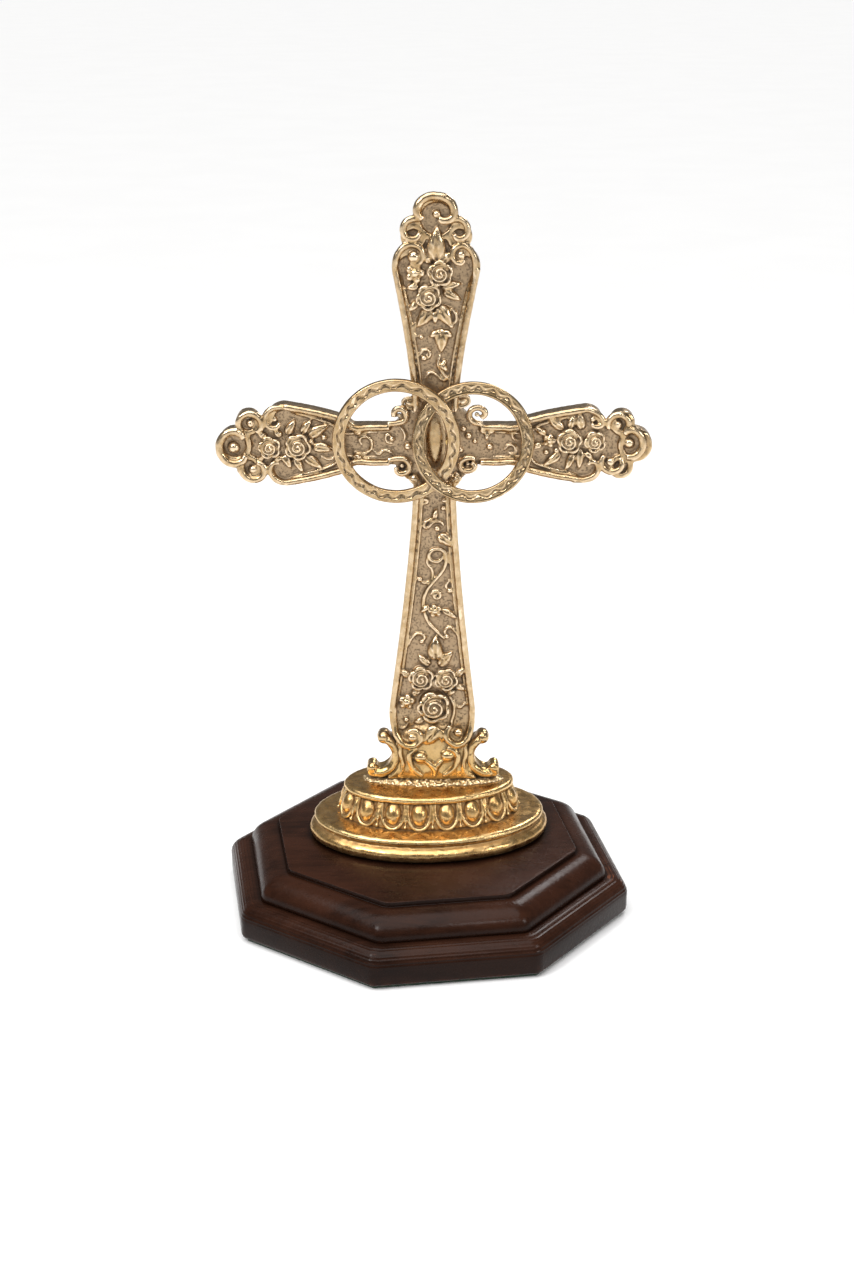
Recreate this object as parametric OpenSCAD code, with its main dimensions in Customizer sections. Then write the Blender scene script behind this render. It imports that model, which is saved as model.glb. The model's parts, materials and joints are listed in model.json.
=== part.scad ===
// Table cross with two linked rings, on an oval pedestal and an octagonal plinth.
// Millimetres, +Z up, the front faces -Y. The origin is at the middle of the plinth's underside.

/* [Plinth] */
// Width of the lower board across its flats
plinth_w = 130; // [124:1:170]
// Height of the lower board's upright side
side_h = 6.7; // [5:0.1:12]
// Height of the lower board's ovolo edge
lower_edge_h = 5.1; // [3:0.1:7]
// How far the lower board's ovolo edge runs in
lower_edge_run = 5.6; // [4:0.1:8]
// Width of the ledge between the two boards
ledge_w = 1.4; // [0.5:0.1:3]
// Height of the upper board's ovolo edge
upper_edge_h = 7.8; // [5:0.1:10]
// How far the upper board's ovolo edge runs in
upper_edge_run = 8.6; // [6:0.1:10]
// Height of the upright step under the flat top
step_h = 1.5; // [0.8:0.1:3]
// Width of the step under the flat top
step_w = 0.6; // [0.2:0.1:1.5]
// Turn of the plinth under the cross, in degrees
plinth_turn = 8.8; // [0:0.1:45]
// Thickness of the felt
felt_t = 1; // [0.6:0.1:2]
// How far the felt stays inside the plinth's edge
felt_inset = 2; // [1:0.5:6]

/* [Pedestal] */
// Length of the pedestal's foot
foot_l = 81.6; // [78:0.2:95]
// Depth of the pedestal's foot
foot_d = 56.4; // [52:0.2:64]
// Height of the pedestal's foot
foot_h = 8; // [6.5:0.1:12]
// Thickness of the thin plate on top of the foot
foot_plate_t = 2.5; // [1.5:0.1:3.5]
// How far that plate stays inside the foot's length and depth, on each side
foot_plate_inset = 1.6; // [0.5:0.1:3]
// Length of the egg band where it meets the foot
band_l = 61.2; // [58:0.2:68]
// Depth of the egg band where it meets the foot
band_d = 38; // [34:0.2:42]
// Height of the egg band
band_h = 8.5; // [6:0.1:14]
// How far the egg band leans in from bottom to top
band_lean = 3.6; // [1:0.1:4.5]
// Number of eggs round the band
egg_count = 16; // [12:2:20]
// Radius of an egg
egg_r = 3.1; // [2:0.1:3.6]
// Length of the cap
cap_l = 57.8; // [54:0.2:66]
// Depth of the cap
cap_d = 34.6; // [30:0.2:42]
// Thickness of the cap
cap_t = 2.4; // [1.6:0.1:5]
// Turn of the pedestal under the cross, in degrees
pedestal_turn = 5; // [0:0.5:20]
// How far the pedestal stands right of the plinth's middle
pedestal_x = 1.3; // [-4:0.1:4]
// How far the pedestal stands behind the plinth's middle
pedestal_y = 3.6; // [-4:0.1:4]
// Thickness of the bedding under the cross
bed_t = 1.6; // [0.8:0.1:3]
// Length of the bedding
bed_l = 49; // [46:0.5:51]
// Depth of the bedding
bed_d = 15; // [13:0.5:22]

/* [Cross] */
// Height of the cross above its bedding
cross_h = 193.8; // [165:1:240]
// Span of the cross arms
cross_w = 138.6; // [120:1:170]
// Distance from the top of the cross down to the arms' centre line
arm_drop = 78; // [70:1:90]
// How far the cross stands right of the pedestal's middle
cross_shift = 1.4; // [-3:0.1:3]
// Thickness of the cross plate
plate_t = 5; // [4:0.1:8]
// Width of the stem and of the side arms at their narrow ends
neck_w = 13.4; // [12:0.1:16]
// Width of the upper arm at its narrow end
top_neck_w = 14.2; // [12:0.1:16]
// Width of the upper arm where it is widest
top_arm_w = 27.4; // [22:0.1:32]
// Height of the left arm where it is widest
left_arm_w = 26.8; // [22:0.1:32]
// Height of the right arm where it is widest
right_arm_w = 25; // [22:0.1:32]
// Width of the stem where it is widest
stem_w = 28.8; // [24:0.1:34]
// Length of the lobed crest at the end of each arm
crest_l = 21.5; // [20:0.1:24]
// Radius of the end lobe on the upper arm
top_lobe_r = 6.7; // [5:0.1:7.5]
// Radius of the end lobe on the side arms
side_lobe_r = 5.5; // [5:0.1:7.5]
// Radius of the two smaller lobes beside each end lobe
small_lobe_r = 4; // [3:0.1:4.5]
// Distance of the smaller lobes from the arm's centre line
small_lobe_out = 7.1; // [6:0.1:8]
// Radius of the round plate at the crossing
hub_r = 14.2; // [12:0.1:17]
// Width of the raised rim
rim_w = 1.7; // [1:0.1:2.5]
// Height of the raised rim
rim_h = 1.2; // [0.6:0.1:2]
// Depth of the block at the foot of the cross
block_t = 9; // [8:0.1:12]
// Width of that block where it stands on the bedding
block_w = 30; // [26:0.1:32]

/* [Scroll brackets] */
// Radius of the bracket's C, at the middle of its band
scroll_r = 6.5; // [6:0.1:7]
// Width of the bracket's band
scroll_band = 3; // [2:0.1:3.5]
// Depth of the bracket
scroll_t = 6.4; // [5:0.1:8]
// Distance from the cross's centre line to the nearest side of the bracket
scroll_in = 10.7; // [10:0.1:12]
// Radius of the ball that ends the bracket's upper curl
ball_r = 2.4; // [2:0.1:2.6]

/* [Rings] */
// Outer radius of a ring
ring_r = 19.6; // [17:0.1:24]
// Width of a ring's band, seen from the front
ring_band = 4.2; // [3:0.1:5]
// Depth of a ring's band
ring_t = 2.3; // [1.8:0.1:2.6]
// Distance of each ring's middle from the cross's centre line
ring_out = 12.7; // [11:0.1:14]
// How far the rings' middle lies above the arms' centre line
ring_up = 1.9; // [0:0.1:3]
// Backward lean of the left ring's foot, in degrees
left_lean = 3; // [1:0.5:6]
// Diameter of a ring peg
peg_d = 2; // [1.5:0.1:2.4]
// How deep a peg is set in the plate
peg_set = 2; // [1:0.1:3]

/* [Fixings] */
// Diameter of the tie rod
rod_d = 4; // [4:1:4]
// How far the tie rod is screwed into the foot of the cross
rod_set = 11; // [8:0.5:13]
// Clearance round the rod in what it passes through, on the diameter
rod_clearance = 0.5; // [0.3:0.1:1]
// Width of the nut across its flats
nut_w = 7; // [7:1:7]
// Thickness of the nut
nut_t = 3.2; // [3.2:1:3.2]
// Diameter of the washer
washer_d = 9; // [9:1:9]
// Thickness of the washer
washer_t = 0.8; // [0.8:1:0.8]
// Diameter of the recess for the nut and washer
recess_d = 16; // [14:0.5:20]
// Depth of that recess
recess_h = 6; // [5.5:0.1:6]
// Diameter of a locating pin
pin_d = 3; // [2:0.5:4]
// How deep a locating pin is set in each of its two pieces
pin_set = 4.5; // [3:0.1:5]
// Distance between the two locating pins
pin_pitch = 52; // [44:1:54]
// Diameter of a board screw's shank
screw_d = 3.5; // [3:0.5:4]
// Diameter of a board screw's head
screw_head_d = 7; // [6:0.5:8]
// How far a board screw reaches into the upper board
screw_bite = 5.5; // [4:0.5:7]
// Radius of the circle of board screws
screw_circle_r = 38; // [34:0.5:40]

/* [Hidden] */
$fn = 96;

// Small extra length for a cut that has to run clear of a face
clear = 1;
// Segments in a drawn arc and in an arm's swelling edge
arc_steps = 10;
blade_steps = 14;

// Heights of the stack, from the surface up
lower_z = felt_t;
joint_z = lower_z + side_h + lower_edge_h;
plinth_top_z = joint_z + upper_edge_h + step_h;
band_z = plinth_top_z + foot_h;
cap_z = band_z + band_h;
cap_top_z = cap_z + cap_t;
foot_z = cap_top_z + bed_t;
cross_top_z = foot_z + cross_h;
arm_z = cross_top_z - arm_drop;

// Half widths of the plinth's mouldings, across the flats
lower_edge_r = plinth_w / 2 - lower_edge_run;
upper_foot_r = lower_edge_r - ledge_w;
upper_edge_r = upper_foot_r - upper_edge_run;
top_r = upper_edge_r - step_w;

// Place of the cross
cross_x = pedestal_x + cross_shift;
cross_y = pedestal_y;
front_y = cross_y - plate_t / 2;

// Where each arm and the stem start to swell, measured from the crossing, and how they swell
top_start = 12;
side_start = 26;
top_curve = 1.4;
side_curve = 0.55;
shoulder_l = 5.5;
shoulder_in = 4.6;
lobe_overlap = 1.2;

// Foot of the cross
stem_wide_z = foot_z + 24.4;
stem_foot_z = foot_z + 12;
block_top_z = foot_z + 14;
block_taper = 3;
scroll_outer = scroll_r + scroll_band / 2;
scroll_z = foot_z + scroll_outer;
scroll_x = scroll_in + scroll_outer;
scroll_head = 71;
scroll_toe = -105;
curl_r = 2.1;
curl_in = 0.6;

// Rings
ring_z = arm_z + ring_up;
ring_mid_r = ring_r - ring_band / 2;
peg_sink = 0.7;

// The rings meet where they cross: the right ring's head leans back by what the left ring leaves,
// and both stand off the plate by what keeps the right ring's head clear of the rims
ring_meet = sqrt(ring_mid_r * ring_mid_r - ring_out * ring_out);
right_lean = asin(ring_t / ring_meet - sin(left_lean));
ring_gap = rim_h + ring_t / 2 + ring_r * sin(right_lean);
ring_y = front_y - ring_gap;

// Gap between the foot's thin plate and its torus
groove_h = 0.7;
groove_in = 1.4;

// Points of an arc from a to b that bulges to the right of the way from a to b
function arc_between(a, b, r) =
  let (
    chord = norm(b - a),
    half = asin(chord / (2 * r)),
    middle = (a + b) / 2,
    along = (b - a) / chord,
    centre = middle + sqrt(r * r - chord * chord / 4) * [-along[1], along[0]],
    start = atan2(a[1] - centre[1], a[0] - centre[0])
  )
  [for (i = [0:arc_steps]) centre + r * [
    cos(start + 2 * half * i / arc_steps),
    sin(start + 2 * half * i / arc_steps)
  ]];

// One side of an arm's or the stem's edge, drawn outwards along +X from the crossing. It keeps the
// neck's width up to start, swells to its widest at reach, and rounds in over the shoulder's length.
function blade_side(neck, wide, start, curve, reach, shoulder, inset) = concat(
  [[0, neck / 2 - inset]],
  [for (i = [0:blade_steps])
    let (t = i / blade_steps)
    [start + (reach - start) * t, (neck + (wide - neck) * pow(t, curve)) / 2 - inset]],
  [for (i = [1:arc_steps])
    let (a = 90 * i / arc_steps)
    [reach + (shoulder - inset) * sin(a), wide / 2 - inset - shoulder_in * (1 - cos(a))]]
);

function top_side(inset) =
  blade_side(top_neck_w, top_arm_w, top_start, top_curve, arm_drop - crest_l, shoulder_l, inset);

function side_side(wide, inset) =
  blade_side(neck_w, wide, side_start, side_curve, cross_w / 2 - crest_l, shoulder_l, inset);

function stem_side(inset) =
  blade_side(neck_w, stem_w, top_start, top_curve, arm_z - stem_wide_z, stem_wide_z - stem_foot_z,
    inset);

function both_sides(points) = concat(
  points,
  [for (i = [len(points) - 1:-1:0]) [points[i][0], -points[i][1]]]
);

// Turns everything inside an arm's own flat outline, drawn along +X, up on to the cross
module on_cross(turn = 0) {
  translate([cross_x, cross_y, arm_z]) rotate([90, 0, 0]) rotate(turn) children();
}

module on_plinth() {
  rotate(plinth_turn) children();
}

module on_pedestal() {
  translate([pedestal_x, pedestal_y, 0]) rotate(pedestal_turn) children();
}

// A turned shape made oval: the profile is drawn at the half length
module oval(length, depth) {
  scale([1, depth / length, 1]) children();
}

// An eight-sided moulding with the same profile on every side
module octagonal(reach) {
  intersection_for(turn = [0, 45, 90, 135]) {
    rotate(turn) rotate([90, 0, 0]) linear_extrude(2 * reach, center = true) children();
  }
}

module mirrored_profile(points) {
  polygon(concat(points, [for (i = [len(points) - 1:-1:0]) [-points[i][0], points[i][1]]]));
}

module rod_hole(z0, z1) {
  translate([cross_x, cross_y, z0 - clear])
    cylinder(d = rod_d + rod_clearance, h = z1 - z0 + 2 * clear);
}

module at_pins() {
  on_pedestal() for (side = [-1, 1]) translate([side * pin_pitch / 2, 0, 0]) children();
}

module pin(extra = 0) {
  translate([0, 0, plinth_top_z - pin_set - extra]) cylinder(d = pin_d, h = 2 * (pin_set + extra));
}

module at_screws() {
  on_plinth() for (turn = [45:90:315]) rotate(turn) translate([screw_circle_r, 0, 0]) children();
}

module screw() {
  head_h = (screw_head_d - screw_d) / 2;
  translate([0, 0, lower_z]) {
    cylinder(d1 = screw_head_d, d2 = screw_d, h = head_h);
    cylinder(d = screw_d, h = joint_z - lower_z + screw_bite);
  }
}

// Boards of the plinth

module felt_pad() {
  color("darkgreen") on_plinth() rotate(22.5) linear_extrude(felt_t)
    circle(r = (plinth_w / 2 - felt_inset) / cos(22.5), $fn = 8);
}

module plinth_lower() {
  half = plinth_w / 2;
  color("#3b2119") difference() {
    on_plinth() octagonal(plinth_w) mirrored_profile(concat(
      [[half, lower_z]],
      arc_between([half, lower_z + side_h], [lower_edge_r, joint_z], lower_edge_run * 1.2)
    ));
    at_screws() screw();
    rod_hole(lower_z, joint_z);
    translate([cross_x, cross_y, lower_z - clear]) cylinder(d = recess_d, h = recess_h + clear);
  }
}

module plinth_upper() {
  color("#4a2a1f") difference() {
    on_plinth() octagonal(plinth_w) mirrored_profile(concat(
      [[upper_foot_r, joint_z]],
      arc_between([upper_foot_r, joint_z + 0.4], [upper_edge_r, joint_z + upper_edge_h],
        upper_edge_run),
      [[top_r, joint_z + upper_edge_h], [top_r, plinth_top_z]]
    ));
    at_screws() screw();
    at_pins() pin();
    rod_hole(joint_z, plinth_top_z);
  }
}

module board_screws() {
  color("silver") at_screws() screw();
}

// Tie rod and its fixings

module tie_nut() {
  nut_z = lower_z + recess_h - washer_t - nut_t;
  color("silver") translate([cross_x, cross_y, nut_z]) difference() {
    linear_extrude(nut_t) circle(d = nut_w / cos(30), $fn = 6);
    translate([0, 0, -clear]) cylinder(d = rod_d, h = nut_t + 2 * clear);
  }
}

module tie_washer() {
  color("gainsboro") translate([cross_x, cross_y, lower_z + recess_h - washer_t]) difference() {
    cylinder(d = washer_d, h = washer_t);
    translate([0, 0, -clear]) cylinder(d = rod_d + rod_clearance, h = washer_t + 2 * clear);
  }
}

module tie_rod() {
  rod_z = lower_z + recess_h - washer_t - nut_t - 1;
  color("silver") translate([cross_x, cross_y, rod_z]) cylinder(d = rod_d, h = foot_z + rod_set - rod_z);
}

module locating_pins() {
  color("goldenrod") at_pins() pin();
}

// Pedestal

module pedestal_foot() {
  half = foot_l / 2;
  plate_r = half - foot_plate_inset;
  torus_h = foot_h - foot_plate_t - groove_h;
  torus_r = torus_h / 2;
  plate_z = plinth_top_z + foot_h - foot_plate_t;
  color("#c89b3c") difference() {
    on_pedestal() oval(foot_l, foot_d) union() {
      translate([0, 0, plinth_top_z]) rotate_extrude() {
        square([half - torus_r, torus_h]);
        translate([half - torus_r, torus_r]) circle(torus_r);
      }
      translate([0, 0, plinth_top_z]) cylinder(r = plate_r - groove_in, h = foot_h);
      translate([0, 0, plate_z]) rotate_extrude() {
        square([plate_r - foot_plate_t / 2, foot_plate_t]);
        translate([plate_r - foot_plate_t / 2, foot_plate_t / 2]) circle(foot_plate_t / 2);
      }
    }
    at_pins() pin();
    rod_hole(plinth_top_z, band_z);
  }
}

module egg_band() {
  half = band_l / 2;
  half_d = band_d / 2;
  sink = 1.7;
  color("#d0a648") difference() {
    on_pedestal() union() {
      oval(band_l, band_d) translate([0, 0, band_z])
        cylinder(r1 = half, r2 = half - band_lean, h = band_h);
      intersection() {
        translate([0, 0, band_z]) linear_extrude(band_h) circle(half + egg_r);
        for (i = [0:egg_count - 1]) {
          a = 360 * (i + 0.5) / egg_count;
          translate([
            (half - band_lean / 2 - sink) * cos(a),
            (half_d - band_lean / 2 - sink) * sin(a),
            band_z + band_h / 2
          ]) sphere(egg_r, $fn = 32);
        }
      }
    }
    rod_hole(band_z, cap_z);
  }
}

module pedestal_cap() {
  half = cap_l / 2;
  color("#d6b35a") difference() {
    on_pedestal() oval(cap_l, cap_d) translate([0, 0, cap_z]) rotate_extrude() {
      square([half - cap_t / 2, cap_t]);
      translate([half - cap_t / 2, cap_t / 2]) circle(cap_t / 2);
    }
    rod_hole(cap_z, cap_top_z);
  }
}

module glue_bed() {
  color("#a9803a") difference() {
    translate([cross_x, cross_y, 0]) oval(bed_l, bed_d) translate([0, 0, cap_top_z])
      cylinder(d = bed_l, h = bed_t);
    rod_hole(cap_top_z, foot_z);
  }
}

// Cross

// The three lobes at an arm's end, inset by a rim width
module lobes(len, lobe_r, inset) {
  translate([len - lobe_r, 0]) circle(lobe_r - inset);
  for (side = [-1, 1]) translate([len - 2 * lobe_r + lobe_overlap, side * small_lobe_out])
    circle(small_lobe_r - inset);
}

// Raised rim round a blade, left open at the crossing
module blade_rim(outer, inner) {
  difference() {
    polygon(both_sides(outer));
    polygon(both_sides(inner));
    square(2 * hub_r, center = true);
  }
}

module arm(turn, len, lobe_r, outer, inner) {
  on_cross(turn) {
    linear_extrude(plate_t, center = true) {
      polygon(both_sides(outer));
      lobes(len, lobe_r, 0);
      translate([len - crest_l, -small_lobe_out])
        square([crest_l - lobe_r - lobe_overlap, 2 * small_lobe_out]);
    }
    translate([0, 0, plate_t / 2 - rim_h]) linear_extrude(2 * rim_h) {
      difference() {
        blade_rim(outer, inner);
        translate([len - crest_l, -small_lobe_out]) square(2 * small_lobe_out);
      }
      difference() {
        lobes(len, lobe_r, 0);
        lobes(len, lobe_r, rim_w);
      }
    }
  }
}

module stem() {
  on_cross(-90) {
    linear_extrude(plate_t, center = true) polygon(both_sides(stem_side(0)));
    translate([0, 0, plate_t / 2 - rim_h]) linear_extrude(2 * rim_h)
      blade_rim(stem_side(0), stem_side(rim_w));
  }
}

module at_scroll(side) {
  translate([cross_x + side * scroll_x, cross_y, scroll_z]) rotate([90, 0, 0]) {
    if (side < 0) children();
    else mirror([1, 0, 0]) children();
  }
}

module foot_block() {
  half = block_w / 2;
  difference() {
    translate([cross_x, cross_y, 0]) rotate([90, 0, 0]) linear_extrude(block_t, center = true)
      mirrored_profile([[half, foot_z], [half - block_taper, block_top_z]]);
    for (side = [-1, 1]) at_scroll(side)
      cylinder(r = scroll_outer, h = block_t + 2 * clear, center = true);
  }
}

module at_pegs() {
  for (side = [-1, 1]) for (along = [-1, 1])
    translate([cross_x + side * ring_out + along * ring_mid_r, 0, ring_z]) rotate([90, 0, 0])
      children();
}

module peg() {
  translate([0, 0, -front_y - peg_set])
    cylinder(d = peg_d, h = peg_set + ring_gap - ring_t / 2 + peg_sink);
}

module cross_body() {
  color("#b79a5e") difference() {
    union() {
      on_cross() linear_extrude(plate_t, center = true) circle(hub_r);
      arm(0, cross_w / 2, side_lobe_r, side_side(right_arm_w, 0), side_side(right_arm_w, rim_w));
      arm(180, cross_w / 2, side_lobe_r, side_side(left_arm_w, 0), side_side(left_arm_w, rim_w));
      arm(90, arm_drop, top_lobe_r, top_side(0), top_side(rim_w));
      stem();
      foot_block();
    }
    at_pegs() peg();
    translate([cross_x, cross_y, foot_z - clear]) cylinder(d = rod_d, h = rod_set + clear);
  }
}

// A curved band of width w round the origin, from angle a0 to angle a1
module arc_band(r, w, a0, a1) {
  steps = 4 * arc_steps;
  polygon(concat(
    [for (i = [0:steps]) let (a = a0 + (a1 - a0) * i / steps) (r + w / 2) * [cos(a), sin(a)]],
    [for (i = [steps:-1:0]) let (a = a0 + (a1 - a0) * i / steps) (r - w / 2) * [cos(a), sin(a)]]
  ));
}

module scroll_bracket(side) {
  color("#c09b4c") at_scroll(side) {
    linear_extrude(scroll_t, center = true) {
      arc_band(scroll_r, scroll_band, scroll_toe, scroll_head);
      rotate(scroll_toe) translate([scroll_r - curl_in, 0]) circle(curl_r);
    }
    rotate(scroll_head) translate([scroll_r, 0, 0]) rotate([90, 0, 0]) sphere(ball_r);
  }
}

module scroll_bracket_left() {
  scroll_bracket(-1);
}

module scroll_bracket_right() {
  scroll_bracket(1);
}

// Rings

module ring_blank(side, lean) {
  translate([cross_x + side * ring_out, ring_y, ring_z]) rotate([90 + lean, 0, 0]) difference() {
    cylinder(r = ring_r, h = ring_t, center = true);
    cylinder(r = ring_r - ring_band, h = ring_t + 2 * clear, center = true);
  }
}

module ring_left() {
  color("#cdb47a") difference() {
    ring_blank(-1, left_lean);
    at_pegs() peg();
  }
}

// The right ring is filed away where it crosses the left one, so that they lie close
module ring_right() {
  color("#c4a868") difference() {
    ring_blank(1, -right_lean);
    ring_blank(-1, left_lean);
    at_pegs() peg();
  }
}

module ring_pegs() {
  color("#8f7440") at_pegs() peg();
}

felt_pad();
plinth_lower();
plinth_upper();
board_screws();
tie_nut();
tie_washer();
tie_rod();
locating_pins();
pedestal_foot();
egg_band();
pedestal_cap();
glue_bed();
cross_body();
scroll_bracket_left();
scroll_bracket_right();
ring_left();
ring_right();
ring_pegs();
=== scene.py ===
"""Table cross: a gilt relief cross with linked rings on an oval pedestal and an octagonal plinth.

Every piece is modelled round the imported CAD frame, in metres, in the frame's own places.
"""

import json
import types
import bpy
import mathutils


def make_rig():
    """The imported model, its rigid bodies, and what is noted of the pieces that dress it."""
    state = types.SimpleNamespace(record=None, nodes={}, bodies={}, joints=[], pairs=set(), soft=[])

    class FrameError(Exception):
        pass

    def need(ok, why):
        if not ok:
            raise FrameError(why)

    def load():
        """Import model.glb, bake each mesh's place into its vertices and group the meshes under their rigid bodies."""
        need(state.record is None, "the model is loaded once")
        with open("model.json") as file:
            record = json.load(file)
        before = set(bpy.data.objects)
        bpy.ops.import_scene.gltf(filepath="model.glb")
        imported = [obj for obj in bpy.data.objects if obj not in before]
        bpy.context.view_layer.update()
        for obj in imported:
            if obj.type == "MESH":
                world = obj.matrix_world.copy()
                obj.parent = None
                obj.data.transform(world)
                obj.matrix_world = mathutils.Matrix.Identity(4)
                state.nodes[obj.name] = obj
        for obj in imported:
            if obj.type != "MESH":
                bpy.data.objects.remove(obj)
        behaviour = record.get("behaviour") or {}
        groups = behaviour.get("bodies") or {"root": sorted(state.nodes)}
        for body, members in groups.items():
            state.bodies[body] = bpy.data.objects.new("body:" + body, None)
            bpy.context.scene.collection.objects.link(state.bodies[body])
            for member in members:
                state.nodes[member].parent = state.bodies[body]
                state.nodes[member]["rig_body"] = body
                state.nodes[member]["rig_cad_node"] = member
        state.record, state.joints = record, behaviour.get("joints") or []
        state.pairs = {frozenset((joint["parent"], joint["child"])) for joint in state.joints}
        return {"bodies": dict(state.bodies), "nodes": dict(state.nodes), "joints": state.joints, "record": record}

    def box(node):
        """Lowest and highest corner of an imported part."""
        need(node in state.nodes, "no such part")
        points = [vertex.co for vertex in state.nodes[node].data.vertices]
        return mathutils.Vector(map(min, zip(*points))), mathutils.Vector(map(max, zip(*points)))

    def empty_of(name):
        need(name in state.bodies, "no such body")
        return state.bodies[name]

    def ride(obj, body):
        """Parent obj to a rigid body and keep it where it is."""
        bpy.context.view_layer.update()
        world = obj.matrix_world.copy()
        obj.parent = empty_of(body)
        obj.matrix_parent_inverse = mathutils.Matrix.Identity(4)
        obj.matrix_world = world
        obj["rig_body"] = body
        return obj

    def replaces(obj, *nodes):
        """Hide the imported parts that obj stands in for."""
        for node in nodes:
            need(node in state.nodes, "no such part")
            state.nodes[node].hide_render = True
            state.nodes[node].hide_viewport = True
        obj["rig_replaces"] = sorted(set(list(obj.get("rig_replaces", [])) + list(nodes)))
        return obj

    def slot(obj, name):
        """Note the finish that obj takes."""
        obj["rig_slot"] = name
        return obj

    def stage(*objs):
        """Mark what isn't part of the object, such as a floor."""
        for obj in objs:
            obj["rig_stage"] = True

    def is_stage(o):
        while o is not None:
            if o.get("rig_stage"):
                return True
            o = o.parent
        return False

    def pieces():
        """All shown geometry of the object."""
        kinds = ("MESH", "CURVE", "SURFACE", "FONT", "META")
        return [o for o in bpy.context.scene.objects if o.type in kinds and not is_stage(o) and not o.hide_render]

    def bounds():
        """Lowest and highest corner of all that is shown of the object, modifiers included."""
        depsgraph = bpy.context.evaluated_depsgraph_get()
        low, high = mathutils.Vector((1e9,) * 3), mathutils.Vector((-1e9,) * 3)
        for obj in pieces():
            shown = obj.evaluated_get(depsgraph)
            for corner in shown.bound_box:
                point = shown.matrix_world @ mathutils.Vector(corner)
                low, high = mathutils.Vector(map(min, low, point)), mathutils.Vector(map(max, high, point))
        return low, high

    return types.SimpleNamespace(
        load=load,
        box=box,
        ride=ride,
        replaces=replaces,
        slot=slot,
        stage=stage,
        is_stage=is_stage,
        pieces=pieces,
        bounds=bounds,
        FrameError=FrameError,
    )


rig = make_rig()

bl_info = {
    "name": "Table Cross",
    "version": (1, 0, 0),
    "blender": (4, 5, 0),
    "location": "View3D > Sidebar > Table Cross",
    "description": "Models the visible pieces of a gilt table cross with linked rings",
    "category": "Object",
}

import json
import math
import random

import bpy
from bpy.props import FloatProperty, FloatVectorProperty, IntProperty, PointerProperty
from mathutils import Matrix, Vector, noise

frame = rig.load()
CAD_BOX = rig.bounds()

MM = 0.001
TAU = 2 * math.pi


def middle(node):
    low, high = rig.box(node)
    return (low + high) / 2


def extent(node):
    low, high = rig.box(node)
    return high - low


# Places that the frame gives
CROSS_LOW, CROSS_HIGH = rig.box("cross_body")
CROSS_MID = middle("cross_body")
ARM_DROP = 78 * MM
ARM_Z = CROSS_HIGH.z - ARM_DROP
PLATE_HALF = 2.5 * MM
FRONT_Y = CROSS_MID.y - PLATE_HALF
PEDESTAL_MID = middle("pedestal_foot")
PEDESTAL_TURN = math.radians(5)
PLINTH_TURN = math.radians(8.8)

# Where the camera stands, and what it and the lights point at
CAMERA_PLACE = (0.65 * MM, -609.7 * MM, 315.7 * MM)
CAMERA_AIM = Vector((0.65 * MM, 0, 92.4 * MM))
LIGHT_AIM = Vector((0, 0, 130 * MM))

# Stands a flat layout, in millimetres from the crossing, up on the face of the cross
FACE = Matrix(
    (
        (MM, 0, 0, CROSS_MID.x),
        (0, 0, -MM, FRONT_Y),
        (0, MM, 0, ARM_Z),
        (0, 0, 0, 1),
    )
)


# Settings


def tint(name, description, default):
    return FloatVectorProperty(
        name=name, description=description, default=default, size=3, min=0, max=1, subtype="COLOR"
    )


class CrossLook(bpy.types.PropertyGroup):
    grain: FloatProperty(
        name="Cast detail", description="Finest detail of the casting",
        default=0.28 * MM, min=0.2 * MM, max=1 * MM, unit="LENGTH", precision=5,
    )
    relief: FloatProperty(
        name="Relief height", description="Height of the ornament, as a share of its full height",
        default=1, min=0.3, max=1.5, subtype="FACTOR",
    )
    gold: tint("Antique gold", "Colour of the rubbed metal", (0.55, 0.41, 0.245))
    patina: tint("Patina", "Colour of the umber patina in the recesses", (0.035, 0.022, 0.013))


class RingLook(bpy.types.PropertyGroup):
    waves: IntProperty(
        name="Waves", description="Waves of the engraved line round a ring",
        default=23, min=6, max=60,
    )
    groove: FloatProperty(
        name="Groove depth", description="Depth of the engraved line",
        default=0.6 * MM, min=0, max=1 * MM, unit="LENGTH", precision=5,
    )


class PedestalLook(bpy.types.PropertyGroup):
    eggs: IntProperty(
        name="Eggs", description="Eggs round the band", default=16, min=8, max=24,
    )
    leaf: tint("Gold leaf", "Colour of the warm gold of the pedestal", (0.72, 0.47, 0.205))


class PlinthLook(bpy.types.PropertyGroup):
    corner: FloatProperty(
        name="Corner easing", description="Width of the eased upright corners",
        default=1.8 * MM, min=0.2 * MM, max=4 * MM, unit="LENGTH", precision=5,
    )
    stain: tint("Stain", "Colour of the stained wood", (0.027, 0.0096, 0.005))
    # lighter wood on the arrises: partly real wear, partly a painted highlight
    worn_and_highlight: tint("Worn edge", "Colour of the wood where an edge is rubbed", (0.14, 0.046, 0.022))


class StageLook(bpy.types.PropertyGroup):
    lens: FloatProperty(
        name="Lens", description="Focal length in millimetres",
        default=55.35, min=20, max=200,
    )
    floor: tint("Floor", "Colour of the floor", (0.97, 0.97, 0.97))
    room: FloatProperty(
        name="Room light", description="Strength of the light from all round",
        default=0.2, min=0, max=3,
    )
    sky: FloatProperty(
        name="Overhead light", description="Strength of the broad light from above",
        default=3.0, min=0, max=10,
    )
    key: FloatProperty(
        name="Key light", description="Power of the soft light at the front left",
        default=2.2, min=0, max=100, unit="POWER",
    )


# Small tools of the bench


def deselect():
    if bpy.context.object and bpy.context.object.mode != "OBJECT":
        bpy.ops.object.mode_set(mode="OBJECT")
    bpy.ops.object.select_all(action="DESELECT")


def choose(piece, *others):
    deselect()
    for each in (piece, *others):
        each.select_set(True)
    bpy.context.view_layer.objects.active = piece


def fresh():
    return bpy.context.object


def rename(piece, name):
    piece.name = name
    piece.data.name = name
    return piece


def settle(piece):
    """Puts the piece's place, turn and size into its mesh."""
    choose(piece)
    bpy.ops.object.transform_apply(location=True, rotation=True, scale=True)
    return piece


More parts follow.
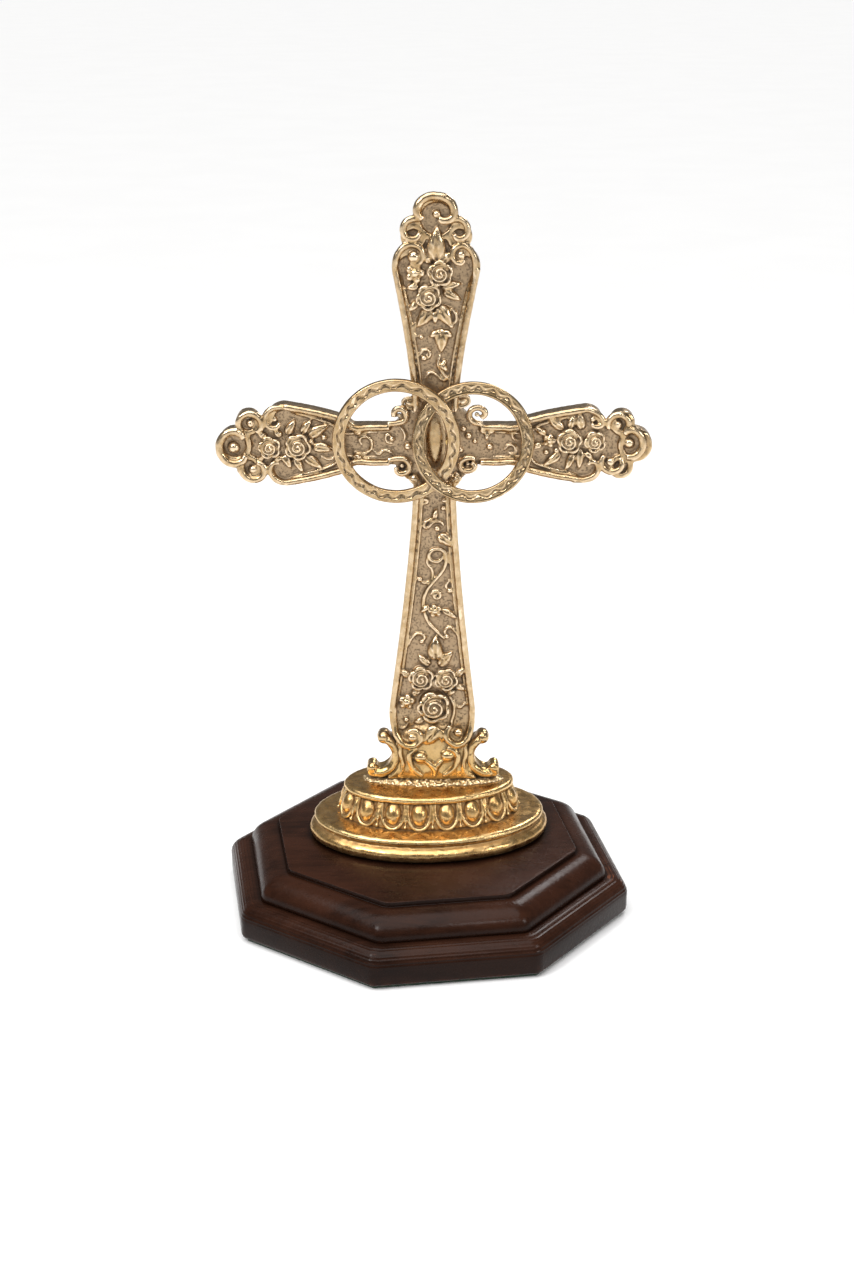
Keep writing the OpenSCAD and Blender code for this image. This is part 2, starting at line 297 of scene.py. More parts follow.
def reshape(piece, matrix):
    piece.data.transform(matrix)
    piece.data.update()
    return piece


def modify(piece, kind, **settings):
    choose(piece)
    modifier = piece.modifiers.new(kind.title(), kind)
    for key, value in settings.items():
        setattr(modifier, key, value)
    bpy.ops.object.modifier_apply(modifier=modifier.name)
    return piece


def join(pieces, name):
    choose(pieces[0], *pieces[1:])
    if len(pieces) > 1:
        bpy.ops.object.join()
    return rename(fresh(), name)


def close_up(piece):
    """Merges doubles and turns every face outwards."""
    choose(piece)
    bpy.ops.object.mode_set(mode="EDIT")
    bpy.ops.mesh.select_all(action="SELECT")
    bpy.ops.mesh.remove_doubles(threshold=0.005 * MM)
    bpy.ops.mesh.normals_make_consistent(inside=False)
    bpy.ops.object.mode_set(mode="OBJECT")
    return piece


def cad_copy(node, name):
    source = frame["nodes"][node]
    piece = bpy.data.objects.new(name, source.data.copy())
    bpy.context.scene.collection.objects.link(piece)
    piece.data.name = name
    piece.data.materials.clear()
    choose(piece)
    bpy.ops.object.mode_set(mode="EDIT")
    bpy.ops.mesh.select_all(action="SELECT")
    bpy.ops.mesh.remove_doubles(threshold=0.001 * MM)
    bpy.ops.object.mode_set(mode="OBJECT")
    return piece


def cast(piece, grain, smoothing, limit=190000, factor=0.5):
    """Melts overlapping shapes into one skin, softens it and keeps it under the limit."""
    modify(piece, "REMESH", mode="VOXEL", voxel_size=grain, use_smooth_shade=True)
    modify(piece, "SMOOTH", factor=factor, iterations=smoothing)
    triangles = sum(len(p.vertices) - 2 for p in piece.data.polygons)
    if triangles > limit:
        modify(piece, "DECIMATE", ratio=limit / triangles)
    choose(piece)
    bpy.ops.object.shade_smooth()
    return piece


def weather(piece, amount, size, seed=0):
    """Moves the skin in and out a little, as hand finishing leaves it."""
    shift = Vector((seed, 2 * seed, 3 * seed))
    normals = [vertex.normal.copy() for vertex in piece.data.vertices]
    places = [vertex.co.copy() for vertex in piece.data.vertices]
    moved = []
    for place, normal in zip(places, normals):
        sway = noise.noise(place / size + shift) + 0.5 * noise.noise(place * 2.7 / size + shift)
        moved.extend(place + normal * sway * amount)
    piece.data.vertices.foreach_set("co", moved)
    piece.data.update()
    return piece


def finish_piece(piece, material, slot, *nodes):
    piece.data.materials.clear()
    piece.data.materials.append(material)
    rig.ride(piece, "root")
    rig.slot(piece, slot)
    if nodes:
        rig.replaces(piece, *nodes)
    return piece


# Materials


class Finish:
    """A node material being put together."""

    def __init__(self, name, metallic=0.0, coat=0.0, coat_roughness=0.2):
        self.material = bpy.data.materials.new(name)
        self.material.use_nodes = True
        self.tree = self.material.node_tree
        self.shader = self.tree.nodes["Principled BSDF"]
        self.shader.inputs["Metallic"].default_value = metallic
        self.shader.inputs["Coat Weight"].default_value = coat
        self.shader.inputs["Coat Roughness"].default_value = coat_roughness
        self.place = self.node("ShaderNodeTexCoord").outputs["Object"]

    def node(self, kind, **settings):
        made = self.tree.nodes.new(kind)
        for key, value in settings.items():
            setattr(made, key, value)
        return made

    def link(self, source, target):
        if isinstance(source, (int, float)):
            target.default_value = source
        elif isinstance(source, tuple):
            target.default_value = (*source[:3], 1)
        else:
            self.tree.links.new(source, target)

    def stretched(self, turn, scale):
        mapping = self.node("ShaderNodeMapping")
        mapping.inputs["Rotation"].default_value = (0, 0, turn)
        mapping.inputs["Scale"].default_value = scale
        self.link(self.place, mapping.inputs["Vector"])
        return mapping.outputs["Vector"]

    def noise(self, scale, detail=4.0, rough=0.6, place=None, distortion=0.0):
        made = self.node("ShaderNodeTexNoise")
        self.link(place or self.place, made.inputs["Vector"])
        made.inputs["Scale"].default_value = scale
        made.inputs["Detail"].default_value = detail
        made.inputs["Roughness"].default_value = rough
        made.inputs["Distortion"].default_value = distortion
        return made.outputs["Fac"]

    def band(self, source, low, high, start=0.0, end=1.0):
        made = self.node("ShaderNodeMapRange", interpolation_type="SMOOTHSTEP")
        self.link(source, made.inputs["Value"])
        for key, value in zip(("From Min", "From Max", "To Min", "To Max"), (low, high, start, end)):
            made.inputs[key].default_value = value
        return made.outputs["Result"]

    def sum(self, kind, a, b):
        made = self.node("ShaderNodeMath", operation=kind, use_clamp=True)
        self.link(a, made.inputs[0])
        self.link(b, made.inputs[1])
        return made.outputs[0]

    def mix(self, share, a, b):
        made = self.node("ShaderNodeMix", data_type="RGBA")
        self.link(share, made.inputs["Factor"])
        self.link(a, made.inputs[6])
        self.link(b, made.inputs[7])
        return made.outputs[2]

    def recess(self, reach):
        made = self.node("ShaderNodeAmbientOcclusion", samples=6)
        made.inputs["Distance"].default_value = reach
        return made.outputs["AO"]

    def axis(self, source, letter):
        split = self.node("ShaderNodeSeparateXYZ")
        self.link(source, split.inputs["Vector"])
        return split.outputs[letter]

    def edge(self):
        return self.node("ShaderNodeNewGeometry").outputs["Pointiness"]

    def bump(self, height, strength, distance, under=None):
        made = self.node("ShaderNodeBump")
        made.inputs["Strength"].default_value = strength
        made.inputs["Distance"].default_value = distance
        self.link(height, made.inputs["Height"])
        if under is not None:
            self.link(under, made.inputs["Normal"])
        return made.outputs["Normal"]

    def wear(self, **inputs):
        for key, value in inputs.items():
            self.link(value, self.shader.inputs[key.replace("_", " ")])
        return self.material


def gilt(name, gold, patina, reach, depth, warmth, roughness=0.2, field=None, foot=None):
    """Gold over a casting: a painted highlight on the convex edges, dark patina in the low ones, and painted shade
    near tall ornament.

    The field is the depth of a face that ornament stands on, which stays dull between it; the foot is
    the height under which the gold turns to the warmer gold of the pedestal.
    """
    finish = Finish(name)
    mottle = finish.noise(260, 5, 0.65)
    flecks = finish.noise(1500, 3, 0.6)
    hollow = finish.band(finish.recess(reach), 0.3, 0.88, 1, 0)
    creases = finish.band(finish.edge(), 0.42, 0.495, 1, 0)
    dirt = finish.sum("MAXIMUM", hollow, creases)
    dirt = finish.sum("MULTIPLY", dirt, finish.band(mottle, 0.25, 0.62, 0.6, 1))
    dirt = finish.sum("MULTIPLY", dirt, depth)
    deep = tuple(c * s for c, s in zip(gold, (0.66, 0.58, 0.46)))
    painted_highlight = tuple(min(1, c * s) for c, s in zip(gold, (1.5, 1.6, 1.85)))
    dull = tuple(c * s for c, s in zip(gold, (0.72, 0.69, 0.72)))
    warm = tuple(c * s for c, s in zip(gold, warmth))
    colour = finish.mix(finish.band(mottle, 0.3, 0.7), deep, gold)
    colour = finish.mix(finish.band(flecks, 0.46, 0.68, 0, 0.7), colour, warm)
    # painted shade: duller, darker gold where ambient occlusion finds tall ornament close by; the field depth below
    # adds the real dull ground
    low = finish.band(finish.recess(2.4 * reach), 0.55, 0.95, 0.8, 0)
    if field is not None:
        back = finish.axis(finish.place, "Y")
        under = finish.band(back, field - 0.75 * MM, field - 0.2 * MM, 0, 0.85)
        under = finish.sum("MULTIPLY", under, finish.band(back, field + 0.3 * MM, field + 1 * MM, 1, 0.3))
        low = finish.sum("MAXIMUM", low, under)
    colour = finish.mix(low, colour, dull)
    # painted highlight: paler gold on the convex edges, found by pointiness
    colour = finish.mix(finish.band(finish.edge(), 0.505, 0.55), colour, painted_highlight)
    if foot is not None:
        below = finish.band(finish.axis(finish.place, "Z"), foot, foot + 30 * MM, 0.75, 0)
        colour = finish.mix(below, colour, (0.62, 0.4, 0.15))
    specks = finish.sum("MULTIPLY", low, finish.band(flecks, 0.5, 0.62, 0, 0.7))
    dirt = finish.sum("MAXIMUM", dirt, specks)
    colour = finish.mix(dirt, colour, patina)
    skin = finish.bump(finish.noise(700, 4, 0.6), 0.3, 0.09 * MM)
    skin = finish.bump(finish.noise(2600, 3, 0.6), 0.3, 0.05 * MM, skin)
    gloss = finish.band(finish.noise(420, 4, 0.7), 0.3, 0.75, roughness, roughness + 0.16)
    gloss = finish.sum("ADD", gloss, finish.sum("MULTIPLY", low, 0.16))
    return finish.wear(
        Base_Color=colour,
        Metallic=finish.band(dirt, 0.1, 0.95, 1, 0.25),
        Roughness=finish.sum("ADD", gloss, finish.sum("MULTIPLY", dirt, 0.35)),
        Normal=skin,
    )


def stained_wood(name, stain, worn_and_highlight, turn):
    finish = Finish(name, coat=0.04, coat_roughness=0.15)
    finish.shader.inputs["Specular IOR Level"].default_value = 0.09
    grain_place = finish.stretched(turn, (0.16, 1, 1))
    streaks = finish.noise(420, 6, 0.62, grain_place, 0.4)
    pores = finish.noise(1700, 3, 0.55, finish.stretched(turn, (0.1, 1, 1)))
    cloud = finish.noise(38, 3, 0.5)
    dark = tuple(c * 0.42 for c in stain)
    rich = tuple(c * 1.6 for c in stain)
    colour = finish.mix(finish.band(streaks, 0.3, 0.7), dark, stain)
    colour = finish.mix(finish.band(cloud, 0.35, 0.7, 0, 0.7), colour, rich)
    colour = finish.mix(finish.band(pores, 0.62, 0.72, 0, 0.6), colour, dark)
    # painted shade: the upright sides turn near black, as if the light fell only from above, and recesses and the
    # joint between the boards darken by ambient occlusion
    upright = finish.node("ShaderNodeNewGeometry").outputs["Normal"]
    painted_shade = finish.band(finish.axis(upright, "Z"), 0, 0.75, 0.75, 0)
    painted_shade = finish.sum("MAXIMUM", painted_shade, finish.band(finish.recess(3 * MM), 0.5, 0.95, 0.95, 0))
    colour = finish.mix(painted_shade, colour, tuple(c * 0.22 for c in stain))
    # worn edges and painted highlight: lighter wood on the convex arrises, in patches, partly real wear and partly a
    # painted highlight
    rubbed = finish.band(finish.edge(), 0.525, 0.6, 0, 0.85)
    rubbed = finish.sum("MULTIPLY", rubbed, finish.band(finish.noise(220, 4, 0.6), 0.35, 0.6))
    colour = finish.mix(rubbed, colour, worn_and_highlight)
    peel = finish.bump(finish.noise(900, 2, 0.5), 0.6, 0.1 * MM)
    peel = finish.bump(streaks, 0.18, 0.05 * MM, peel)
    return finish.wear(
        Base_Color=colour,
        Roughness=finish.band(finish.noise(150, 4, 0.6), 0.3, 0.7, 0.22, 0.3),
        Normal=peel,
    )


def turned_metal(name, dark, light, scale, stretch, gloss):
    finish = Finish(name, metallic=1)
    lines = finish.noise(scale, 3, 0.6, finish.stretched(0, (1, 1, stretch)))
    return finish.wear(
        Base_Color=finish.mix(finish.band(lines, 0.3, 0.7), dark, light),
        Roughness=finish.band(lines, 0.25, 0.75, *gloss),
        Normal=finish.bump(lines, 0.3, 0.02 * MM),
    )


def felt_finish(name):
    finish = Finish(name)
    fibres = finish.noise(2600, 4, 0.7, None, 1.2)
    finish.shader.inputs["Sheen Weight"].default_value = 0.6
    return finish.wear(
        Base_Color=finish.mix(finish.band(fibres, 0.3, 0.7), (0.012, 0.03, 0.018), (0.03, 0.07, 0.04)),
        Roughness=finish.band(fibres, 0.2, 0.8, 0.85, 1),
        Normal=finish.bump(fibres, 0.8, 0.2 * MM),
    )


# Relief: ornament laid out flat and stood up on the face


def make_ball():
    deselect()
    bpy.ops.mesh.primitive_ico_sphere_add(subdivisions=3, radius=1)
    return rename(fresh(), "bench_ball")


def bench_copy(template, name="bench_part"):
    piece = bpy.data.objects.new(name, template.data.copy())
    bpy.context.scene.collection.objects.link(piece)
    return piece


def lay_lines(lines, name):
    """One curve object with a round roll along each line of (points, thickness, lift, tail)."""
    deselect()
    bpy.ops.curve.primitive_bezier_curve_add()
    rolls = fresh()
    curve = rolls.data
    curve.splines.clear()
    curve.dimensions = "3D"
    curve.bevel_depth = 1
    curve.bevel_resolution = 3
    curve.resolution_u = 7
    curve.use_fill_caps = True
    for points, thickness, lift, tail in lines:
        spline = curve.splines.new("BEZIER")
        spline.bezier_points.add(len(points) - 1)
        last = len(points) - 1
        for i, (knot, point) in enumerate(zip(spline.bezier_points, points)):
            knot.co = (point[0], point[1], point[2] if len(point) > 2 else lift)
            knot.handle_left_type = "AUTO"
            knot.handle_right_type = "AUTO"
            knot.radius = thickness * (tail if i in (0, last) else 1)
    bpy.ops.object.convert(target="MESH")
    return rename(fresh(), name)


def arc(x, y, radius, start, end, steps=6, lift=None):
    """Points of an arc about (x, y), from start to end degrees, as a line of the layout."""
    points = []
    for i in range(steps + 1):
        angle = math.radians(start + (end - start) * i / steps)
        spot = (x + radius * math.cos(angle), y + radius * math.sin(angle))
        points.append(spot if lift is None else (*spot, lift))
    return points


def curl(x, y, radius, start, turns, tightness=0.25, steps=None):
    """Points of a volute that winds in about (x, y) from the start angle."""
    steps = steps or max(6, int(abs(turns) * 9))
    points = []
    for i in range(steps + 1):
        t = i / steps
        angle = math.radians(start) + turns * TAU * t
        reach = radius * (1 - (1 - tightness) * t)
        points.append((x + reach * math.cos(angle), y + reach * math.sin(angle)))
    return points


def make_rose(ball):
    """A full rose of radius 1: outer petals round a dome, and a curled edge wound up to its heart."""
    parts = []
    for reach, height in ((0.98, 0.46), (0.84, 0.62)):
        dome = bench_copy(ball)
        reshape(dome, Matrix.Diagonal((reach, reach, height, 1)))
        parts.append(dome)
    lines = []
    for i in range(5):
        turn = 72 * i + 10
        x, y = 0.5 * math.cos(math.radians(turn)), 0.5 * math.sin(math.radians(turn))
        edge = arc(x, y, 0.46, turn - 88, turn + 88, 6)
        rise = [0.3, 0.36, 0.38, 0.36, 0.38, 0.36, 0.3]
        lines.append(([(px, py, h) for (px, py), h in zip(edge, rise)], 0.13, 0, 0.6))
    wound = curl(0, 0, 0.76, 20, 2.2, 0.1, 28)
    climb = [(px, py, 0.1 + 0.58 * math.sqrt(1 - (px * px + py * py) / 0.72)) for px, py in wound]
    lines.append((climb, 0.085, 0, 0.8))
    parts.append(lay_lines(lines, "rose_petals"))
    return join(parts, "bench_rose")


def make_leaf():
    """A pointed leaf one long and one wide, from its stalk at the origin, with ribs pressed in."""
    deselect()
    bpy.ops.mesh.primitive_uv_sphere_add(segments=40, ring_count=24, radius=1, rotation=(0, math.pi / 2, 0))
    leaf = rename(settle(fresh()), "bench_leaf")
    for vertex in leaf.data.vertices:
        x, y, z = vertex.co
        along = (x + 1) / 2
        side = y * (0.62 - 0.3 * along) * (1 - 0.6 * along**4)
        height = z * 0.5
        if z > 0:
            height -= 0.22 * math.exp(-((side / 0.07) ** 2)) * (1 - along * 0.5)
            height += 0.04 * math.cos(TAU * (3 * along - 2.6 * abs(side))) * (1 - along)
        vertex.co = (along, side + 0.06 * math.sin(math.pi * along), height)
    leaf.data.update()
    return leaf


def make_berries(ball):
    parts = []
    for i in range(6):
        berry = bench_copy(ball)
        x, y = (0, 0) if i == 5 else (0.58 * math.cos(TAU * i / 5), 0.58 * math.sin(TAU * i / 5))
        size = 0.42 if i == 5 else 0.38
        lift = 0.45 if i == 5 else 0.28
        reshape(berry, Matrix.Translation((x, y, lift)) @ Matrix.Scale(size, 4))
        parts.append(berry)
    return join(parts, "bench_berries")


class Bench:
    """The patterns that every relief is made from."""

    def __init__(self):
        self.ball = make_ball()
        self.rose = make_rose(self.ball)
        self.leaf = make_leaf()
        self.berries = make_berries(self.ball)

    def clear(self):
        for pattern in (self.ball, self.rose, self.leaf, self.berries):
            bpy.data.objects.remove(pattern)


class Relief:
    """Ornament of one stretch of the cross, laid out in millimetres from the crossing."""

    def __init__(self, bench, name, rise):
        self.bench = bench
        self.name = name
        self.rise = rise
        self.parts = []
        self.lines = []

    def stamp(self, pattern, x, y, size, turn=0.0, lift=0.0):
        piece = bench_copy(pattern)
        place = Matrix.Translation((x, y, lift * self.rise))
        spin = Matrix.Rotation(math.radians(turn), 4, "Z")
        reshape(piece, place @ spin @ Matrix.Diagonal((size[0], size[1], size[2] * self.rise, 1)))
        self.parts.append(piece)

    def rose(self, x, y, r, turn=0, height=1.25):
        self.stamp(self.bench.rose, x, y, (r, r, r * height), turn, 0.1)

    def berries(self, x, y, r, turn=0):
        self.stamp(self.bench.berries, x, y, (r, r, r * 0.9), turn, 0)

    def ball(self, x, y, r, lift=None):
        self.stamp(self.bench.ball, x, y, (r, r, r), 0, 0.4 * r if lift is None else lift)

    def boss(self, x, y, along, across, turn=0):
        """An oval boss with a raised rim round a smooth dome."""
        self.stamp(self.bench.ball, x, y, (along * 0.62, across * 0.62, 1.3), turn, 0.1)
        rim = []
        for px, py in arc(0, 0, 1, 0, 350, 12):
            spot = Vector((px * along * 0.86, py * across * 0.86)).to_3d()
            spot.rotate(Matrix.Rotation(math.radians(turn), 3, "Z"))
            rim.append((x + spot.x, y + spot.y))
        self.roll(rim, 0.42, 0.6, tail=1)

    def leaf(self, x, y, tip_x, tip_y, width, lift=0.5, height=2.7):
        run = Vector((tip_x - x, tip_y - y))
        turn = math.degrees(math.atan2(run.y, run.x))
        self.stamp(self.bench.leaf, x, y, (run.length, width, height), turn, lift)

    def roll(self, points, thick, lift=None, tail=0.5, head=0.0):
        lift = (0.55 * thick if lift is None else lift) * self.rise
        self.lines.append((points, thick, lift, tail))
        if head:
            self.ball(points[-1][0], points[-1][1], head, lift + 0.2)

    def repeat(self, make, *places):
        for place in places:
            make(*place)

    def stand_up(self, place=FACE):
        parts = self.parts + ([lay_lines(self.lines, self.name)] if self.lines else [])
        return reshape(join(parts, self.name), place)


def upper_arm_relief(bench, rise):
    arm = Relief(bench, "upper_arm_relief", rise)
    arm.roll([(1.5, 71.3), (3.4, 70.6), (5.9, 71.8), (6.1, 74.3), (4.4, 77), (0.9, 78.1), (-2.4, 77.6),
              (-4.8, 75.3), (-4.9, 72.7), (-3.4, 71.2)], 1.35, 1.1, 0.75)
    arm.roll([(-4.2, 66.8), (-5.6, 65.2), (-8, 65.4), (-9.3, 67.4), (-8.8, 69.9), (-6.7, 71.2), (-4, 71)],
             1.15, 1.0, 0.7)
    arm.roll([(6.2, 66.4), (7.4, 65.2), (9.6, 65.8), (10.4, 67.8), (9.5, 70.2), (7.2, 71.2), (4.6, 70.2)],
             1.1, 1.0, 0.7)
    arm.ball(0.9, 72.6, 1.3, 0.6)
    arm.roll([(-12, 54), (-11.9, 57.5), (-11, 60.6), (-8.6, 63), (-5.8, 63.3), (-3.6, 61.5), (-3.6, 59),
              (-5.4, 57.4), (-7.2, 58)], 1.05, 1.1, 0.7)
    arm.roll([(12.6, 54), (12.8, 57.6), (12, 60.8), (9.8, 63), (7.2, 62.8), (5.8, 60.8), (6.4, 58.6),
              (8.2, 57.7), (9.6, 58.6)], 1.0, 1.1, 0.7)
    arm.repeat(arm.ball, (-6.1, 59.7, 2.0, 0.8), (8.5, 60.2, 1.4, 0.7))
    arm.repeat(
        arm.leaf,
        (1, 58, 1.2, 69.2, 6.2, 0.65, 3.6), (3, 57.5, 6.2, 62, 2.6), (-1, 57.5, -3.4, 61, 2.2),
    )
    arm.rose(2, 54.6, 3.9, 10)
    arm.berries(-5.8, 54.6, 3.4)
    arm.rose(-1.5, 47.2, 3.9, 40)
    arm.repeat(
        arm.leaf,
        (-4.5, 51, -8.6, 50, 2.8), (-4.8, 46, -8.2, 42.6, 2.6), (2.4, 50.2, 8.8, 51.4, 3),
        (3, 49, 8.8, 46, 3), (-1, 44, -5.2, 37.6, 4.4), (1.2, 44.4, 5.6, 37.8, 4.8),
        (0.4, 43, 0.4, 38.6, 2.4),
    )
    arm.roll([(4.2, 44), (6.6, 42.6), (7, 39.8), (5.6, 38.2)], 0.5, head=0.8)
    arm.repeat(
        arm.leaf,
        (2.1, 37.4, 2.4, 29.6, 4.6, 0.55, 2.4), (3.2, 36.6, 6, 34.4, 2.2), (1.2, 36.6, -1.4, 34.6, 2.2),
    )
    arm.roll([(-4.4, 28.8), (-3, 30.6), (-1.2, 30), (-1.6, 28.2), (-3, 28)], 0.55, head=0.9)
    arm.ball(3.4, 26.7, 0.9)
    arm.roll([(2.2, 29), (1.4, 26.4), (2.4, 24), (4, 22), (5.4, 20.8)], 0.6)
    arm.leaf(2, 26.4, 4.6, 23.6, 2)
    arm.roll([(-2.8, 21.6), (-0.8, 23.4), (1.2, 22.6), (3.4, 21), (4.6, 21.6)], 0.55)
    arm.roll([(-4.6, 41), (-6, 38), (-5.6, 35.4), (-3.8, 34.6)], 0.4, head=0.7)
    return arm.stand_up()


def left_arm_relief(bench, rise):
    arm = Relief(bench, "left_arm_relief", rise)
    arm.roll([(-60.4, 2.2), (-61.4, 3.8), (-64.2, 4.4), (-67, 2.7), (-68.2, -0.8), (-67, -4.2), (-64, -6),
              (-61, -5.2), (-59.8, -3.4)], 1.35, 1.1, 0.75)
    arm.ball(-63.6, -0.8, 1.9, 0.3)
    for volute in (
        [(-61, 4.6), (-61.9, 7.3), (-60, 9.8), (-57, 10.1), (-54.8, 8), (-54.8, 5.6), (-56.4, 4.4)],
        [(-60.6, -5.2), (-61.4, -8), (-59.4, -10.8), (-56.4, -11.2), (-54.2, -9.2), (-54.4, -6.8),
         (-56.2, -5.6)],
    ):
        arm.roll(volute, 1.15, 1.0, 0.7)
    arm.repeat(arm.ball, (-58, 7, 1.3, 0.4), (-57.6, -8, 1.5, 0.4))
    for volute in (
        [(-47.6, 12.2), (-51.2, 11.8), (-53.4, 9.4), (-52.6, 6.4), (-50.2, 5.6), (-48.6, 7.2)],
        [(-46, -12.4), (-49.6, -11.6), (-52, -9), (-51.4, -6.2), (-49.2, -5.8)],
    ):
        arm.roll(volute, 0.95, 1.0, 0.7)
    arm.ball(-50.4, 8.4, 0.9)
    arm.repeat(arm.rose, (-52.2, -0.7, 3.5, 20), (-43.2, -0.4, 4.1, 55))
    arm.repeat(
        arm.leaf,
        (-53, 2.2, -56, 4.6, 2.4), (-53.4, -3.4, -56.2, -4.6, 2), (-48.4, 2.6, -50.6, 5.4, 2.4),
        (-46.6, 3.2, -43.8, 8.4, 3), (-48, -3.2, -45.4, -8, 2.8), (-48.6, -3.4, -51.4, -5.8, 2.2),
        (-39.8, 2.6, -33, 6.8, 3.8, 0.55, 2.4), (-42, 3.6, -38.6, 8.4, 2.8),
        (-38.6, -0.6, -31.4, -1.6, 3.6, 0.55, 2.4), (-41.2, -3.8, -35.4, -7.8, 3.4, 0.55, 2.2),
        (-44.4, -4.2, -41.6, -9.4, 2.6),
    )
    arm.repeat(arm.ball, (-38.9, 0.9, 1.0), (-34.8, 2.4, 0.9))
    arm.roll([(-36, -3.8), (-33, -4.8), (-31, -3.6)], 0.45)
    return arm.stand_up()


def right_arm_relief(bench, rise):
    arm = Relief(bench, "right_arm_relief", rise)
    arm.roll([(60.6, 3.8), (62, 5), (64.6, 4.4), (66.6, 1.4), (66.2, -1.6), (64, -3.6), (61.6, -3.8)],
             1.3, 1.1, 0.75)
    arm.ball(62.4, 0.6, 1.6, 0.3)
    for volute in (
        [(55.6, 5.2), (55.6, 7.8), (57.6, 9.8), (60.4, 9.4), (62, 7.2), (61, 5)],
        [(54.4, -3.2), (53.6, -5.6), (55.2, -8.2), (58, -8.6), (60.2, -6.6), (59.8, -4.2)],
    ):
        arm.roll(volute, 1.1, 1.0, 0.7)
    arm.repeat(arm.ball, (58.5, 6.6, 1.4, 0.4), (56.6, -5.6, 1.5, 0.4))
    for volute in (
        [(46.6, 11.8), (50, 11.2), (53, 9.4), (53.8, 7.2), (52, 6), (50, 6.8)],
        [(44.6, -11.8), (48.8, -11.2), (52, -9.4), (52.6, -6.8), (50.8, -5.4), (49.2, -6.4)],
    ):
        arm.roll(volute, 0.95, 1.0, 0.7)
    arm.ball(50.6, 8.4, 0.9)
    arm.repeat(arm.rose, (43.2, 1.4, 3.9, 5), (51.4, 1.2, 3.4, 35))
    arm.repeat(
        arm.leaf,
        (47.2, 5, 46.4, 11, 3.4, 0.55, 2.4), (43.4, 5.2, 44.6, 10, 2.6),
        (41.4, 5, 36, 9.8, 3.2, 0.55, 2.2), (46.8, -1.2, 46.4, -8.2, 2.8, 0.55, 2.2),
        (44.6, -2.6, 42, -8.6, 2.6), (40.6, -2.6, 35, -6.8, 3, 0.55, 2.1), (48.6, -2.2, 51, -5.4, 2.2),
    )
    arm.berries(36.9, 1.4, 2.4)
    arm.leaf(36, 3.6, 32, 6, 2.4)
    arm.repeat(arm.ball, (36, -2.4, 0.9), (39.3, -1.8, 1.0))
    arm.leaf(34.6, 0.4, 30.6, -0.8, 2.4)
    return arm.stand_up()


def crossing_relief(bench, rise):
    """Volutes, bosses and tendrils round the smooth oval medallion behind the rings."""
    hub = Relief(bench, "crossing_relief", rise)
    for volute in (
        [(-12.6, 9.2), (-12.4, 11), (-10.8, 11.9), (-8.9, 10.6), (-9, 8.4), (-11, 7.3), (-14.6, 6.9)],
        [(-12, -7.2), (-11.4, -8.9), (-9.2, -9.2), (-7.6, -7.2), (-8.6, -5), (-11, -4.4), (-14.6, -4.9)],
        [(15.2, 8.8), (16.4, 10.4), (15, 12), (12.2, 11.6), (11.4, 9.2), (12.8, 7.6), (15.6, 6.9)],
        [(12.2, -5.6), (13.2, -7), (11.6, -8.3), (9.3, -7.8), (8.7, -5.6), (10.4, -4.3), (13.4, -4.3)],
    ):
        hub.roll(volute, 1.05, 0.9, 0.8)
    hub.repeat(hub.ball, (-10.8, 9.6, 0.8), (-10, -6.9, 0.8), (13.8, 9.9, 0.8), (11, -6.2, 0.8))
    hub.repeat(hub.boss, (-7, 13.6, 3.4, 2.1, -10), (9.2, 14.2, 2.9, 2.1, 20))
    hub.repeat(hub.ball, (-6.1, -11.2, 1.8, 0.2), (-8.3, -10.4, 0.9))
    hub.berries(7, -11, 2.4)
    hub.ball(4.6, -12.6, 1)
    oval = [(0.3 + 3.5 * math.cos(a * TAU / 16), 1.2 + 9.8 * math.sin(a * TAU / 16)) for a in range(16)]
    hub.roll(oval + oval[:1], 0.5, 0.2, 1)
    hub.stamp(bench.ball, 0.3, 1.2, (3.1, 9.3, 0.9), 0, 0)
    hub.roll([(-10.8, 6), (-9.2, 3.8), (-9.2, 1.4)], 0.5)
    hub.ball(-8.2, -0.4, 1.2)
    hub.roll([(-13.2, 2.2), (-14.6, 3.4), (-14.8, 1), (-12.8, 0.4)], 0.45)
    hub.ball(-13.2, 2, 0.9)
    hub.roll([(-25.4, -2.2), (-22, -2.8), (-19.6, -0.4), (-20.8, 2.4), (-23.4, 2), (-22.8, -0.2)], 0.55)
    hub.roll([(-19.2, -1.6), (-17.6, -3), (-15.8, -1.8), (-14, -2.2), (-12.6, -3.2)], 0.45)
    hub.repeat(hub.leaf, (-24.6, 3.2, -22.6, 6, 2.6), (-25.6, -3.6, -22.4, -4, 1.6))
    hub.repeat(hub.ball, (11.2, 3, 1.1), (9.6, 5.2, 0.9), (18, -0.5, 1.1), (13.2, 1.2, 0.8), (8.6, -1.6, 1))
    hub.repeat(hub.leaf, (17, 4.6, 14.4, 4.8, 1.8), (17.2, 4, 19.8, 4.8, 1.8), (17, 4.2, 16.8, 1.4, 1.6))
    hub.roll([(27, 6.4), (25.4, 4.6), (25.6, 2), (27.2, 1.4)], 0.55)
    hub.roll([(22.6, -1.6), (24.4, 0), (26.2, -1.2), (25.6, -3), (24, -2.6)], 0.5)
    return hub.stand_up()


